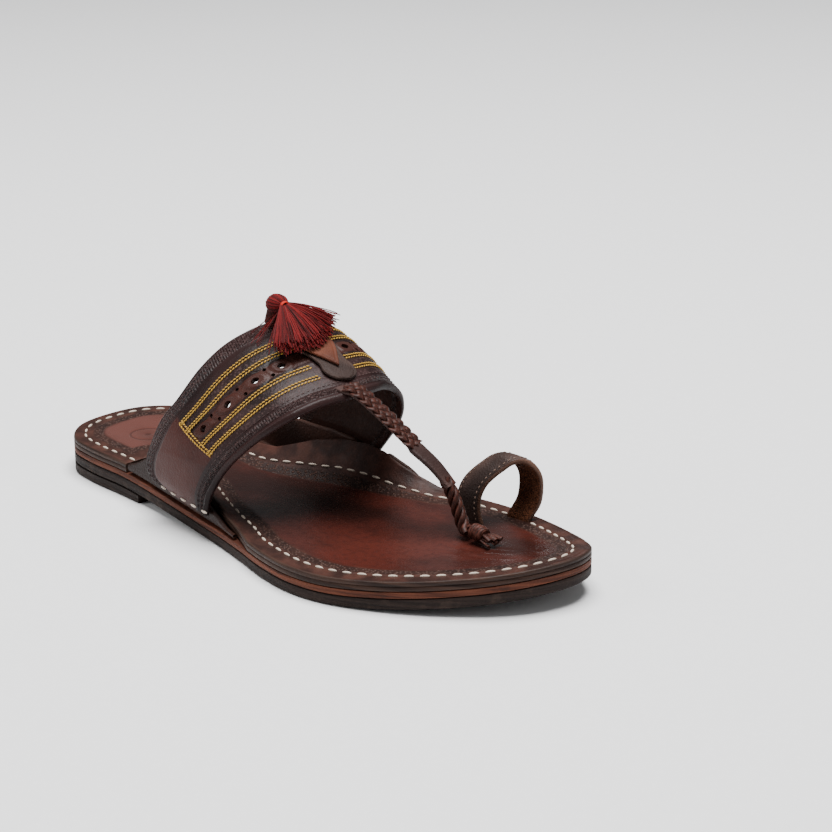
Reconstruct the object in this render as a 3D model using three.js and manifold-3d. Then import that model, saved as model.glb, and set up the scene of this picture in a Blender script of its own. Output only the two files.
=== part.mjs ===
// Kolhapuri sandal for the right foot, in millimetres: X to the toe, Y to the medial side, Z up.
import * as THREE from 'three';
import { mergeVertices } from 'three/addons/utils/BufferGeometryUtils.js';
import Module from 'manifold-3d';

const wasm = await Module();
wasm.setup();

// Driving sizes of the sole
const footLength = 270;
const ballWidth = 106;
const heelLiftThick = 4.6;
const toeSpring = 8.2;
const outsoleThick = 4.4;
const midsoleThick = 2.6;
const topsoleThick = 4;
const edgeChamfer = 0.6;
const heelBreast = 66;
const glueLine = 0.3;

// Driving sizes of the leather above the sole
const earThick = 2;
const earBend = 3;
const earHeight = 20;
const marginWidth = 15;
const notchDepth = 15;
const marginLift = 16;
const instepRise = 72;
const bandWall = 2.6;
const bandBulge = 2.5;
const punchLength = 4.8;
const punchWidth = 4;
const pinholeWidth = 1.7;
const strapWidth = 9;
const strapWall = 2.4;
const braidRise = 1.4;
const strandWidth = 2.6;
const strandSpread = 1.7;
const strandCount = 3;
const strandTurns = 1.4;
const ringWall = 2.4;
const ringWidth = 12.5;
const ringRise = 27.3;
const ringCrown = 0.3;
const ringTang = 2.6;
const leafWall = 1.2;
const tabWall = 1.4;
const leafWidth = 14;
const tabWidth = 16.8;
const knotWidth = 7;
const knotLength = 9;
const endLength = 6.5;
const endWidth = 2.2;
const tasselHead = 9;
const tasselStalk = 4.8;
const tasselLean = 3;
const tasselNeck = 4.6;
const tasselLength = 23;
const lockWidth = 3.6;

// Heights where the layers of the sole meet, over the tread
const outsoleTop = outsoleThick;
const midsoleFloor = outsoleTop + glueLine;
const midsoleTop = midsoleFloor + midsoleThick;
const topsoleFloor = midsoleTop + glueLine;
const topsoleTop = topsoleFloor + topsoleThick;

// Shares of the foot's length where the underside leaves the floor
const archStart = 0.185;
const treadStart = 0.445;
const springStart = 0.7;

// Plan of the sole: place from the heel as a share of the length, sides as shares of the ball width
const heelTip = 0.02;
const toeTip = 0.18;
const planTable = [
  { along: 0.012, lateral: -0.15, medial: 0.185 },
  { along: 0.055, lateral: -0.262, medial: 0.3 },
  { along: 0.11, lateral: -0.295, medial: 0.332 },
  { along: 0.2, lateral: -0.306, medial: 0.33 },
  { along: 0.3, lateral: -0.325, medial: 0.319 },
  { along: 0.39, lateral: -0.346, medial: 0.318 },
  { along: 0.46, lateral: -0.376, medial: 0.338 },
  { along: 0.54, lateral: -0.423, medial: 0.386 },
  { along: 0.61, lateral: -0.47, medial: 0.446 },
  { along: 0.678, lateral: -0.491, medial: 0.492 },
  { along: 0.74, lateral: -0.47, medial: 0.51 },
  { along: 0.8, lateral: -0.408, medial: 0.498 },
  { along: 0.855, lateral: -0.326, medial: 0.464 },
  { along: 0.905, lateral: -0.228, medial: 0.417 },
  { along: 0.95, lateral: -0.117, medial: 0.363 },
  { along: 0.985, lateral: 0.02, medial: 0.295 },
];

// Waist of the topsole: how far its edge is set in as a share of the notch depth, and how much of the
// lift its margin has
const waistTable = {
  lateral: [
    { along: 0.214, inset: 1, lift: 0 },
    { along: 0.35, inset: 0.867, lift: 0.12 },
    { along: 0.407, inset: 0.5, lift: 0.28 },
    { along: 0.445, inset: 0.307, lift: 0.28 },
    { along: 0.482, inset: 0.227, lift: 0.12 },
    { along: 0.52, inset: 0.173, lift: 0.03 },
    { along: 0.565, inset: 0, lift: 0 },
  ],
  medial: [
    { along: 0.214, inset: 1, lift: 0 },
    { along: 0.35, inset: 0.8, lift: 0.4 },
    { along: 0.415, inset: 0.4, lift: 0.85 },
    { along: 0.465, inset: 0.2, lift: 1 },
    { along: 0.505, inset: 0.173, lift: 1 },
    { along: 0.535, inset: 0.173, lift: 0.88 },
    { along: 0.56, inset: 0.173, lift: 0.62 },
    { along: 0.59, inset: 0.173, lift: 0.38 },
    { along: 0.625, inset: 0.16, lift: 0.15 },
    { along: 0.665, inset: 0, lift: 0 },
  ],
};

// Ears: height of the flap over the midsole as a share of the ear height
const earTable = {
  lateral: [
    { along: 0.219, rise: 0.2 },
    { along: 0.245, rise: 0.36 },
    { along: 0.275, rise: 0.62 },
    { along: 0.31, rise: 0.85 },
    { along: 0.36, rise: 1 },
    { along: 0.405, rise: 0.9 },
    { along: 0.43, rise: 0.6 },
    { along: 0.445, rise: 0.36 },
    { along: 0.482, rise: 0.3 },
    { along: 0.52, rise: 0.18 },
  ],
  medial: [
    { along: 0.219, rise: 0.2 },
    { along: 0.245, rise: 0.36 },
    { along: 0.275, rise: 0.62 },
    { along: 0.31, rise: 0.85 },
    { along: 0.36, rise: 1.05 },
    { along: 0.43, rise: 1.1 },
    { along: 0.482, rise: 1 },
    { along: 0.49, rise: 0.52 },
    { along: 0.522, rise: 0.52 },
    { along: 0.532, rise: 0.88 },
    { along: 0.56, rise: 0.68 },
    { along: 0.59, rise: 0.47 },
    { along: 0.64, rise: 0.22 },
  ],
};

// Instep band from its lateral foot over the crown to its medial foot. Places along are shares of the
// length, reach is a share of the half width that clears the ear there, rise is a share of the instep rise.
const bandTable = [
  { rearAlong: 0.327, rearReach: -1, rearRise: 0.05, frontAlong: 0.451, frontReach: -1, frontRise: 0.012 },
  { rearAlong: 0.303, rearReach: -1.07, rearRise: 0.12, frontAlong: 0.458, frontReach: -0.98, frontRise: 0.12 },
  { rearAlong: 0.301, rearReach: -1.08, rearRise: 0.2, frontAlong: 0.473, frontReach: -0.94, frontRise: 0.225 },
  { rearAlong: 0.313, rearReach: -1.06, rearRise: 0.315, frontAlong: 0.494, frontReach: -0.89, frontRise: 0.33 },
  { rearAlong: 0.331, rearReach: -1, rearRise: 0.465, frontAlong: 0.518, frontReach: -0.82, frontRise: 0.43 },
  { rearAlong: 0.356, rearReach: -0.9, rearRise: 0.6, frontAlong: 0.558, frontReach: -0.67, frontRise: 0.576 },
  { rearAlong: 0.379, rearReach: -0.685, rearRise: 0.785, frontAlong: 0.584, frontReach: -0.49, frontRise: 0.667 },
  { rearAlong: 0.396, rearReach: -0.45, rearRise: 0.905, frontAlong: 0.599, frontReach: -0.27, frontRise: 0.715 },
  { rearAlong: 0.411, rearReach: -0.2, rearRise: 0.975, frontAlong: 0.609, frontReach: -0.08, frontRise: 0.728 },
  { rearAlong: 0.423, rearReach: 0.06, rearRise: 1.01, frontAlong: 0.611, frontReach: 0.1, frontRise: 0.728 },
  { rearAlong: 0.43, rearReach: 0.34, rearRise: 1.01, frontAlong: 0.607, frontReach: 0.28, frontRise: 0.722 },
  { rearAlong: 0.431, rearReach: 0.65, rearRise: 0.985, frontAlong: 0.599, frontReach: 0.47, frontRise: 0.7 },
  { rearAlong: 0.425, rearReach: 0.89, rearRise: 0.87, frontAlong: 0.593, frontReach: 0.61, frontRise: 0.655 },
  { rearAlong: 0.409, rearReach: 0.98, rearRise: 0.68, frontAlong: 0.589, frontReach: 0.72, frontRise: 0.585 },
  { rearAlong: 0.388, rearReach: 1.05, rearRise: 0.52, frontAlong: 0.58, frontReach: 0.795, frontRise: 0.49 },
  { rearAlong: 0.364, rearReach: 1.07, rearRise: 0.36, frontAlong: 0.559, frontReach: 0.88, frontRise: 0.37 },
  { rearAlong: 0.338, rearReach: 1.06, rearRise: 0.22, frontAlong: 0.529, frontReach: 0.94, frontRise: 0.23 },
  { rearAlong: 0.326, rearReach: 1, rearRise: 0.09, frontAlong: 0.497, frontReach: 1, frontRise: 0.09 },
];

// Instep strap, from its root on the crown to the slot between the toes: along and aside are shares of
// the length, rise is a share of the instep rise over the topsole.
const strapTable = [
  { along: 0.5886, aside: 0.0065, rise: 0.757, width: 1.2 },
  { along: 0.6022, aside: 0.0075, rise: 0.751, width: 1.2 },
  { along: 0.6111, aside: 0.0095, rise: 0.743, width: 1.2 },
  { along: 0.655, aside: 0.0245, rise: 0.622, width: 1.12 },
  { along: 0.702, aside: 0.0395, rise: 0.48, width: 1 },
  { along: 0.735, aside: 0.049, rise: 0.39, width: 0.85 },
  { along: 0.762, aside: 0.056, rise: 0.29, width: 0.7 },
];
const braidShare = 0.65;
const braidRows = 12;

// Twisted strands below the strap: the first row starts inside the strap's end
const strandTable = [
  { along: 0.752, aside: 0.0535, rise: 0.325 },
  { along: 0.766, aside: 0.0575, rise: 0.22 },
  { along: 0.776, aside: 0.059, rise: 0.13 },
  { along: 0.787, aside: 0.058, rise: 0.06 },
  { along: 0.8, aside: 0.056, rise: 0 },
];
const strandSteps = 11;

// Toe ring from its foot between the toes over to its foot at the medial edge: aside is a share of the
// ball width, rise is a share of the ring's rise over the topsole
const ringTable = [
  { along: 0.745, aside: 0.286, rise: 0 },
  { along: 0.7424, aside: 0.277, rise: 0.22 },
  { along: 0.7435, aside: 0.281, rise: 0.46 },
  { along: 0.749, aside: 0.3, rise: 0.652 },
  { along: 0.757, aside: 0.328, rise: 0.788 },
  { along: 0.765, aside: 0.357, rise: 0.886 },
  { along: 0.7735, aside: 0.385, rise: 0.971 },
  { along: 0.782, aside: 0.413, rise: 1 },
  { along: 0.789, aside: 0.438, rise: 0.971 },
  { along: 0.7965, aside: 0.463, rise: 0.857 },
  { along: 0.801, aside: 0.479, rise: 0.711 },
  { along: 0.8025, aside: 0.483, rise: 0.527 },
  { along: 0.8, aside: 0.476, rise: 0.25 },
  { along: 0.791, aside: 0.443, rise: 0 },
];
const ringSteps = 24;

// Overlays on the crown: half widths as shares of the overlay's own width, at shares of their own axis
const leaf = {
  axis: { from: { across: 0.545, down: 0.2 }, to: { across: 0.5285, down: 0.735 } },
  widths: [
    { along: 0, half: 0.25 }, { along: 0.25, half: 0.43 }, { along: 0.5, half: 0.5 }, { along: 0.65, half: 0.4 },
    { along: 0.85, half: 0.19 }, { along: 1, half: 0.02 },
  ],
};
const tab = {
  axis: { from: { across: 0.55, down: 0.16 }, to: { across: 0.527, down: 0.862 } },
  widths: [
    { along: 0, half: 0.24 }, { along: 0.12, half: 0.42 }, { along: 0.4, half: 0.5 }, { along: 0.62, half: 0.39 },
    { along: 0.72, half: 0.37 }, { along: 0.82, half: 0.42 }, { along: 0.9, half: 0.39 },
    { along: 0.96, half: 0.29 }, { along: 1, half: 0.08 },
  ],
};

// Knot
const knotWraps = 4;
const knotEnds = [
  { aside: -0.15, length: 0.75, rise: 0 },
  { aside: 0.3, length: 1, rise: 0.05 },
  { aside: 0.75, length: 0.95, rise: 0 },
  { aside: 1.15, length: 0.7, rise: 0.2 },
];

// Tassel: seat on the band, and where the tips of its fan of locks lie over the band
const tasselSeat = { across: 0.523, down: 0.05 };
const lockCount = 9;
const fanTable = [
  { along: 0, across: 0.453, down: 0.42 },
  { along: 0.18, across: 0.46, down: 0.5 },
  { along: 0.38, across: 0.486, down: 0.52 },
  { along: 0.56, across: 0.513, down: 0.53 },
  { along: 0.72, across: 0.54, down: 0.52 },
  { along: 0.86, across: 0.58, down: 0.44 },
  { along: 1, across: 0.632, down: 0.27 },
];

const leather = {
  outsole: new THREE.MeshStandardMaterial({ color: 0x2c2623, roughness: 0.8, metalness: 0 }),
  midsole: new THREE.MeshStandardMaterial({ color: 0x7d4229, roughness: 0.7, metalness: 0 }),
  topsole: new THREE.MeshStandardMaterial({ color: 0x5a2a22, roughness: 0.45, metalness: 0 }),
  ear: new THREE.MeshStandardMaterial({ color: 0x33261f, roughness: 0.5, metalness: 0 }),
  band: new THREE.MeshStandardMaterial({ color: 0x3b2622, roughness: 0.45, metalness: 0 }),
  overlay: new THREE.MeshStandardMaterial({ color: 0x5b2f26, roughness: 0.5, metalness: 0 }),
  lace: new THREE.MeshStandardMaterial({ color: 0x5e3228, roughness: 0.6, metalness: 0 }),
  thread: new THREE.MeshStandardMaterial({ color: 0xa3221d, roughness: 0.9, metalness: 0 }),
};

const clamp = (value, low, high) => Math.min(Math.max(value, low), high);
const smooth = (share) => share * share * (3 - 2 * share);
const point = (x, y, z) => new THREE.Vector3(x, y, z);

function fromTriangles(corners) {
  const kept = [];
  for (let i = 0; i < corners.length; i += 3) {
    const [a, b, c] = corners.slice(i, i + 3);
    const area = new THREE.Vector3().crossVectors(b.clone().sub(a), c.clone().sub(a)).length();
    if (area > 1e-6) kept.push(a, b, c);
  }
  const geometry = new THREE.BufferGeometry().setFromPoints(kept);
  return mergeVertices(geometry, 1e-4);
}

function quad(corners, a, b, c, d) {
  corners.push(a, b, c, a, c, d);
}

// Solid of one boolean operand
function manifoldOf(geometry) {
  const bare = geometry.clone();
  bare.deleteAttribute('normal');
  bare.deleteAttribute('uv');
  const merged = mergeVertices(bare, 1e-4);
  const corners = merged.index.array;
  const kept = [];
  for (let i = 0; i < corners.length; i += 3) {
    const [a, b, c] = corners.slice(i, i + 3);
    if (a !== b && b !== c && c !== a) kept.push(a, b, c);
  }
  return new wasm.Manifold(new wasm.Mesh({
    numProp: 3,
    vertProperties: new Float32Array(merged.attributes.position.array),
    triVerts: new Uint32Array(kept),
  }));
}

function geometryOf(manifold) {
  const mesh = manifold.getMesh();
  const geometry = new THREE.BufferGeometry();
  geometry.setAttribute('position', new THREE.BufferAttribute(new Float32Array(mesh.vertProperties), 3));
  geometry.setIndex(new THREE.BufferAttribute(new Uint32Array(mesh.triVerts), 1));
  return geometry;
}

// The same solid without sealed hollows or loose crumbs
function solidOf(manifold) {
  const kept = manifold.decompose().filter((part) => part.volume() > 1);
  return kept.reduce((sum, part) => sum.add(part));
}

// Value of one column of a table at a place along, in smooth steps between its rows
function readTable(table, column, along) {
  if (along <= table[0].along) return table[0][column];
  for (let i = 1; i < table.length; i += 1) {
    const low = table[i - 1];
    const high = table[i];
    if (along <= high.along) {
      const share = (along - low.along) / (high.along - low.along);
      return low[column] + (high[column] - low[column]) * share;
    }
  }
  return table[table.length - 1][column];
}

// Plan of the sole as a closed curve, set in by an inset, read back as two sides over X
function soleSides(inset) {
  const lateral = planTable.map((row) => point(row.along * footLength, row.lateral * ballWidth, 0));
  const medial = planTable.map((row) => point(row.along * footLength, row.medial * ballWidth, 0));
  const heel = point(0, heelTip * ballWidth, 0);
  const toe = point(footLength, toeTip * ballWidth, 0);
  const loop = new THREE.CatmullRomCurve3([heel, ...lateral, toe, ...medial.reverse()], true);
  const samples = 400;
  const ring = [];
  for (let i = 0; i < samples; i += 1) {
    const place = loop.getPoint(i / samples);
    const tangent = loop.getTangent(i / samples);
    ring.push(point(place.x - tangent.y * inset, place.y + tangent.x * inset, 0));
  }
  const byX = ring.map((place, index) => [place.x, index]).sort((a, b) => a[0] - b[0]);
  const heelIndex = byX[0][1];
  const toeIndex = byX[samples - 1][1];
  const run = (from, to) => {
    const side = [];
    for (let i = from; i !== to; i = (i + 1) % samples) side.push(ring[i]);
    side.push(ring[to]);
    return side;
  };
  const reader = (side) => (x) => {
    for (let i = 1; i < side.length; i += 1) {
      if (x <= side[i].x) {
        const span = side[i].x - side[i - 1].x;
        const share = span > 1e-9 ? clamp((x - side[i - 1].x) / span, 0, 1) : 1;
        return side[i - 1].y + (side[i].y - side[i - 1].y) * share;
      }
    }
    return side[side.length - 1].y;
  };
  return {
    start: ring[heelIndex].x,
    end: ring[toeIndex].x,
    lateral: reader(run(heelIndex, toeIndex)),
    medial: reader(run(toeIndex, heelIndex).reverse()),
  };
}

const solePlan = soleSides(0);

// Height of the outsole's underside: heel lift, arch, tread and toe spring
function camber(x) {
  const share = x / footLength;
  const heel = smooth(clamp((treadStart - share) / (treadStart - archStart), 0, 1));
  const toe = clamp((share - springStart) / (1 - springStart), 0, 1);
  return heelLiftThick * heel + toeSpring * toe * toe;
}

function sideOf(name, x) {
  return name === 'lateral' ? solePlan.lateral(x) : solePlan.medial(x);
}

function waist(name, column, x) {
  const along = x / footLength;
  const table = waistTable[name];
  if (along < table[0].along) return 0;
  return readTable(table, column, along) * (column === 'inset' ? notchDepth : 1);
}

// A layer of the sole: rings at rising levels, each cut in stations from heel to toe, with columns across
function soleLayer({ levels, stations, columns, to, shape }) {
  const rings = levels.map((level) => {
    const sides = soleSides(level.inset);
    const start = sides.start;
    const end = to === undefined ? sides.end : to;
    return stations.map((share) => {
      const x = start + (end - start) * share;
      return columns.map((column) => {
        const place = shape(x, sides.lateral(x), sides.medial(x), column);
        return point(place.x, place.y, level.height(place.x) + place.lift);
      });
    });
  });
  const corners = [];
  const top = rings[rings.length - 1];
  const bottom = rings[0];
  const last = columns.length - 1;
  for (let i = 0; i + 1 < stations.length; i += 1) {
    for (let j = 0; j < last; j += 1) {
      quad(corners, top[i][j], top[i + 1][j], top[i + 1][j + 1], top[i][j + 1]);
      quad(corners, bottom[i][j + 1], bottom[i + 1][j + 1], bottom[i + 1][j], bottom[i][j]);
    }
    for (let k = 0; k + 1 < rings.length; k += 1) {
      const low = rings[k];
      const high = rings[k + 1];
      quad(corners, low[i][0], low[i + 1][0], high[i + 1][0], high[i][0]);
      quad(corners, low[i + 1][last], low[i][last], high[i][last], high[i + 1][last]);
    }
  }
  const final = stations.length - 1;
  for (let k = 0; k + 1 < rings.length; k += 1) {
    for (let j = 0; j < last; j += 1) {
      quad(corners, rings[k][0][j + 1], rings[k][0][j], rings[k + 1][0][j], rings[k + 1][0][j + 1]);
      quad(corners, rings[k][final][j], rings[k][final][j + 1], rings[k + 1][final][j + 1], rings[k + 1][final][j]);
    }
  }
  return fromTriangles(corners);
}

// Shares from 0 to 1, closer together at the rounded heel, and at the toe where the layer reaches it
function stationShares(count, reachesToe) {
  const shares = [];
  for (let i = 0; i <= count; i += 1) {
    const share = i / count;
    const bothEnds = (1 - Math.cos(Math.PI * share)) / 2;
    const heelEnd = 1 - Math.cos((Math.PI / 2) * share);
    shares.push(reachesToe ? bothEnds : heelEnd);
  }
  return shares;
}

const flatColumns = [{ side: 'lateral', share: 0 }, { side: 'medial', share: 0 }];

function flatAcross(x, lateral, medial, column) {
  return { x, y: column.side === 'lateral' ? lateral : medial, lift: 0 };
}

function edgedLevels(floor, top) {
  return [
    { inset: edgeChamfer, height: (x) => camber(x) + floor },
    { inset: 0, height: (x) => camber(x) + floor + edgeChamfer },
    { inset: 0, height: (x) => camber(x) + top - edgeChamfer },
    { inset: edgeChamfer, height: (x) => camber(x) + top },
  ];
}

function flatLayer(floor, top) {
  return soleLayer({
    levels: edgedLevels(floor, top),
    stations: stationShares(32, true),
    columns: flatColumns,
    shape: flatAcross,
  });
}

function heelLift() {
  return soleLayer({
    levels: [
      { inset: edgeChamfer, height: () => 0 },
      { inset: 0, height: () => edgeChamfer },
      { inset: 0, height: (x) => camber(x) - glueLine },
    ],
    stations: stationShares(14, false),
    columns: flatColumns,
    to: heelBreast,
    shape: flatAcross,
  });
}

// Topsole: its margins are set in and curl up at the waist, where the ears pass
const marginShares = [1, 0.78, 0.5, 0];

function topsoleBlank() {
  const lateralColumns = marginShares.map((share) => ({ side: 'lateral', share }));
  const medialColumns = [...marginShares].reverse().map((share) => ({ side: 'medial', share }));
  const cut = waistTable.lateral[0].along;
  const round = stationShares(36, true).filter((share) => Math.abs(share - cut) > 0.006);
  const stations = [...round, cut - 0.0005, cut + 0.0005].sort((a, b) => a - b);
  return soleLayer({
    levels: edgedLevels(topsoleFloor, topsoleTop),
    stations,
    columns: [...lateralColumns, ...medialColumns],
    shape: (x, lateral, medial, column) => {
      const out = column.side === 'lateral' ? -1 : 1;
      const middle = (lateral + medial) / 2;
      const edge = (column.side === 'lateral' ? lateral : medial) - out * waist(column.side, 'inset', x);
      const half = Math.abs(edge - middle);
      const margin = Math.min(marginWidth, half * 0.7);
      const y = edge - out * margin * (1 - column.share);
      const lift = marginLift * waist(column.side, 'lift', x) * column.share ** 2;
      return { x, y, lift };
    },
  });
}

// Ear: a flap that lies on the midsole in the notch, bends up at the sole's edge and stands there
function earSection(name, x) {
  const base = camber(x) + topsoleFloor;
  const rise = Math.max(earHeight * readTable(earTable[name], 'rise', x / footLength), earThick + 0.2);
  const root = Math.max(waist(name, 'inset', x) - 2 * glueLine, 1.4);
  const wall = Math.min(earThick, root);
  const bend = Math.min(earBend, root);
  const outer = [[root, 0], [bend, 0], [bend * 0.3, bend * 0.3], [0, bend], [0, rise]];
  const inner = [[root, wall], [bend, wall], [wall + (bend - wall) * 0.3, wall + (bend - wall) * 0.3],
    [wall, bend], [wall, rise]];
  const out = name === 'lateral' ? -1 : 1;
  const edge = sideOf(name, x);
  const place = ([inset, height]) => point(x, edge - out * inset, base + Math.min(height, rise));
  const innerPlace = ([inset, height]) => place([inset, Math.max(height, wall)]);
  return { outer: outer.map(place), inner: inner.map(innerPlace) };
}

function ear(name) {
  const table = earTable[name];
  const start = table[0].along * footLength;
  const end = table[table.length - 1].along * footLength;
  const count = 30;
  const sections = [];
  for (let i = 0; i <= count; i += 1) sections.push(earSection(name, start + ((end - start) * i) / count));
  return loftSheet(sections, name === 'medial');
}

// Closed wall between an outer and an inner grid of points; sections run along, points run across
function loftSheet(sections, flip) {
  const corners = [];
  const last = sections[0].outer.length - 1;
  const add = (a, b, c, d) => (flip ? quad(corners, d, c, b, a) : quad(corners, a, b, c, d));
  for (let i = 0; i + 1 < sections.length; i += 1) {
    const near = sections[i];
    const far = sections[i + 1];
    for (let j = 0; j < last; j += 1) {
      add(near.outer[j], far.outer[j], far.outer[j + 1], near.outer[j + 1]);
      add(near.inner[j + 1], far.inner[j + 1], far.inner[j], near.inner[j]);
    }
    add(near.inner[0], far.inner[0], far.outer[0], near.outer[0]);
    add(near.outer[last], far.outer[last], far.inner[last], near.inner[last]);
  }
  for (let j = 0; j < last; j += 1) {
    const first = sections[0];
    const final = sections[sections.length - 1];
    add(first.outer[j], first.outer[j + 1], first.inner[j + 1], first.inner[j]);
    add(final.inner[j], final.inner[j + 1], final.outer[j + 1], final.outer[j]);
  }
  return fromTriangles(corners);
}

// Outer face of the instep band: across runs from foot to foot, down runs from rear edge to front edge
function bandCurve(edge) {
  const places = bandTable.map((row) => {
    const x = row[`${edge}Along`] * footLength;
    const reach = row[`${edge}Reach`];
    const side = reach < 0 ? 'lateral' : 'medial';
    const half = Math.abs(sideOf(side, x)) + glueLine + bandWall;
    return point(x, reach * half, topsoleTop + row[`${edge}Rise`] * instepRise);
  });
  return new THREE.CatmullRomCurve3(places, false, 'centripetal');
}

const bandRear = bandCurve('rear');
const bandFront = bandCurve('front');

function bandChord(across, down) {
  return bandRear.getPoint(across).lerp(bandFront.getPoint(across), down);
}

function bandNormal(across, down) {
  const step = 0.004;
  const low = clamp(across - step, 0, 1);
  const high = clamp(across + step, 0, 1);
  const alongArch = bandChord(high, down).sub(bandChord(low, down));
  const alongWidth = bandChord(across, 1).sub(bandChord(across, 0));
  return new THREE.Vector3().crossVectors(alongWidth, alongArch).normalize();
}

function bandPlace(across, down, offset) {
  const normal = bandNormal(across, down);
  const bulge = bandBulge * 4 * down * (1 - down) * Math.min(1, 6 * across, 6 * (1 - across));
  return bandChord(across, down).addScaledVector(normal, bulge + offset);
}

const bandAcross = 36;
const bandDown = 6;

function bandBlank(clear) {
  const sections = [];
  for (let i = 0; i <= bandAcross; i += 1) {
    const outer = [];
    const inner = [];
    for (let j = 0; j <= bandDown; j += 1) {
      const down = (j / bandDown) * (1 + 0.06 * clear) - 0.03 * clear;
      outer.push(bandPlace(i / bandAcross, down, clear));
      inner.push(bandPlace(i / bandAcross, down, -bandWall));
    }
    sections.push({ outer, inner });
  }
  return loftSheet(sections, true);
}

// Prism through the band wall, with its own outline in the plane of the leather there
function punch(across, down, length, width, sides, power) {
  const centre = bandPlace(across, down, 0);
  const normal = bandNormal(across, down);
  const alongStripe = bandPlace(across + 0.01, down, 0).sub(centre).normalize();
  const acrossStripe = new THREE.Vector3().crossVectors(normal, alongStripe).normalize();
  const ring = (offset) => {
    const places = [];
    for (let i = 0; i < sides; i += 1) {
      const angle = (2 * Math.PI * i) / sides;
      const round = (value) => Math.sign(value) * Math.abs(value) ** power;
      const place = centre.clone().addScaledVector(normal, offset);
      place.addScaledVector(alongStripe, (length / 2) * round(Math.cos(angle)));
      place.addScaledVector(acrossStripe, (width / 2) * round(Math.sin(angle)));
      places.push(place);
    }
    return places;
  };
  const top = ring(bandWall);
  const bottom = ring(-2 * bandWall);
  const corners = [];
  for (let i = 0; i < sides; i += 1) {
    const next = (i + 1) % sides;
    quad(corners, bottom[i], bottom[next], top[next], top[i]);
    corners.push(top[0], top[i], top[next], bottom[0], bottom[next], bottom[i]);
  }
  return fromTriangles(corners);
}

// Punched strip between the two inner gold stripes
const punchDown = 0.51;
const punchTable = [
  { from: 0.258, to: 0.438, count: 4 },
  { from: 0.615, to: 0.795, count: 4 },
];

function punchPlaces() {
  const large = [];
  const small = [];
  for (const run of punchTable) {
    const pitch = (run.to - run.from) / (run.count - 1);
    for (let i = 0; i < run.count; i += 1) {
      large.push(run.from + pitch * i);
      if (i + 1 < run.count) small.push(run.from + pitch * (i + 0.5));
    }
  }
  return { large, small };
}

// Instep strap
const strapPath = new THREE.CatmullRomCurve3(strapTable.map((row) => point(
  row.along * footLength,
  row.aside * footLength,
  topsoleTop + row.rise * instepRise,
)), false, 'centripetal');

function strapFrame(share) {
  const centre = strapPath.getPointAt(share);
  const tangent = strapPath.getTangentAt(share).normalize();
  const aside = new THREE.Vector3().crossVectors(point(0, 0, 1), tangent).normalize();
  const up = new THREE.Vector3().crossVectors(tangent, aside).normalize();
  const half = (strapWidth / 2) * readTable(strapTable, 'width', centre.x / footLength);
  return { centre, tangent, aside, up, half };
}

function strapBase() {
  const count = 26;
  const sections = [];
  for (let i = 0; i <= count; i += 1) {
    const frame = strapFrame(i / count);
    const outer = [];
    const inner = [];
    for (const share of [-1, -0.75, 0.75, 1]) {
      const thick = Math.abs(share) === 1 ? 0.3 : 0.5;
      const centre = frame.centre.clone().addScaledVector(frame.aside, share * frame.half);
      outer.push(centre.clone().addScaledVector(frame.up, thick * strapWall));
      inner.push(centre.clone().addScaledVector(frame.up, -thick * strapWall));
    }
    sections.push({ outer, inner });
  }
  return loftSheet(sections, false);
}

// One slanted strip of the braid, raised on the strap, half as wide as the strap
function braidStrip(row, side) {
  const pitch = braidShare / braidRows;
  const start = (row + 0.1) * pitch;
  const frame = strapFrame(start + pitch * 0.5);
  const stripLength = frame.half * 1.05;
  const geometry = new THREE.SphereGeometry(1, 6, 4);
  const stepLength = strapPath.getLength() * pitch;
  geometry.scale(stepLength * 0.6, stripLength * 0.6, braidRise + strapWall / 2);
  const slant = new THREE.Matrix4().makeRotationZ(side * 0.6);
  const basis = new THREE.Matrix4().makeBasis(frame.tangent, frame.aside, frame.up);
  const centre = frame.centre.clone().addScaledVector(frame.aside, side * frame.half * 0.45);
  geometry.applyMatrix4(slant);
  geometry.applyMatrix4(basis);
  geometry.translate(centre.x, centre.y, centre.z);
  return geometry;
}

// Strands that the strap splits into, twisted down to the topsole and forward to the knot
function strandCurve(index) {
  const path = strandPath();
  const places = [];
  for (let i = 0; i <= strandSteps; i += 1) {
    const share = i / strandSteps;
    const tangent = path.getTangent(share).normalize();
    const aside = point(0, 1, 0);
    const up = new THREE.Vector3().crossVectors(tangent, aside).normalize();
    const turn = 2 * Math.PI * (index / strandCount + strandTurns * share);
    const place = path.getPoint(share);
    place.addScaledVector(aside, strandSpread * Math.cos(turn));
    place.addScaledVector(up, strandSpread * Math.sin(turn));
    places.push(place);
  }
  return new THREE.CatmullRomCurve3(places, false, 'centripetal');
}

function strandPath() {
  const low = strandSpread + strandWidth / 2 + glueLine;
  const places = strandTable.map((row) => {
    const x = row.along * footLength;
    const floor = camber(x) + topsoleTop + low;
    const height = camber(x) + topsoleTop + row.rise * instepRise;
    return point(x, row.aside * footLength, Math.max(floor, height));
  });
  return new THREE.CatmullRomCurve3(places, false, 'centripetal');
}

// Round rod along a curve
function rod(curve, width, sides, steps) {
  const section = new THREE.Shape();
  for (let i = 0; i < sides; i += 1) {
    const angle = (2 * Math.PI * i) / sides;
    const x = (width / 2) * Math.cos(angle);
    const y = (width / 2) * Math.sin(angle);
    if (i === 0) section.moveTo(x, y);
    else section.lineTo(x, y);
  }
  section.closePath();
  return new THREE.ExtrudeGeometry(section, { steps, extrudePath: curve, bevelEnabled: false });
}

// Toe ring: an arch of strip leather whose two feet stand in slots of the topsole
const ringPath = new THREE.CatmullRomCurve3(ringTable.map((row) => point(
  row.along * footLength,
  row.aside * ballWidth,
  row.rise * ringRise,
)), false, 'centripetal');

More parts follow.
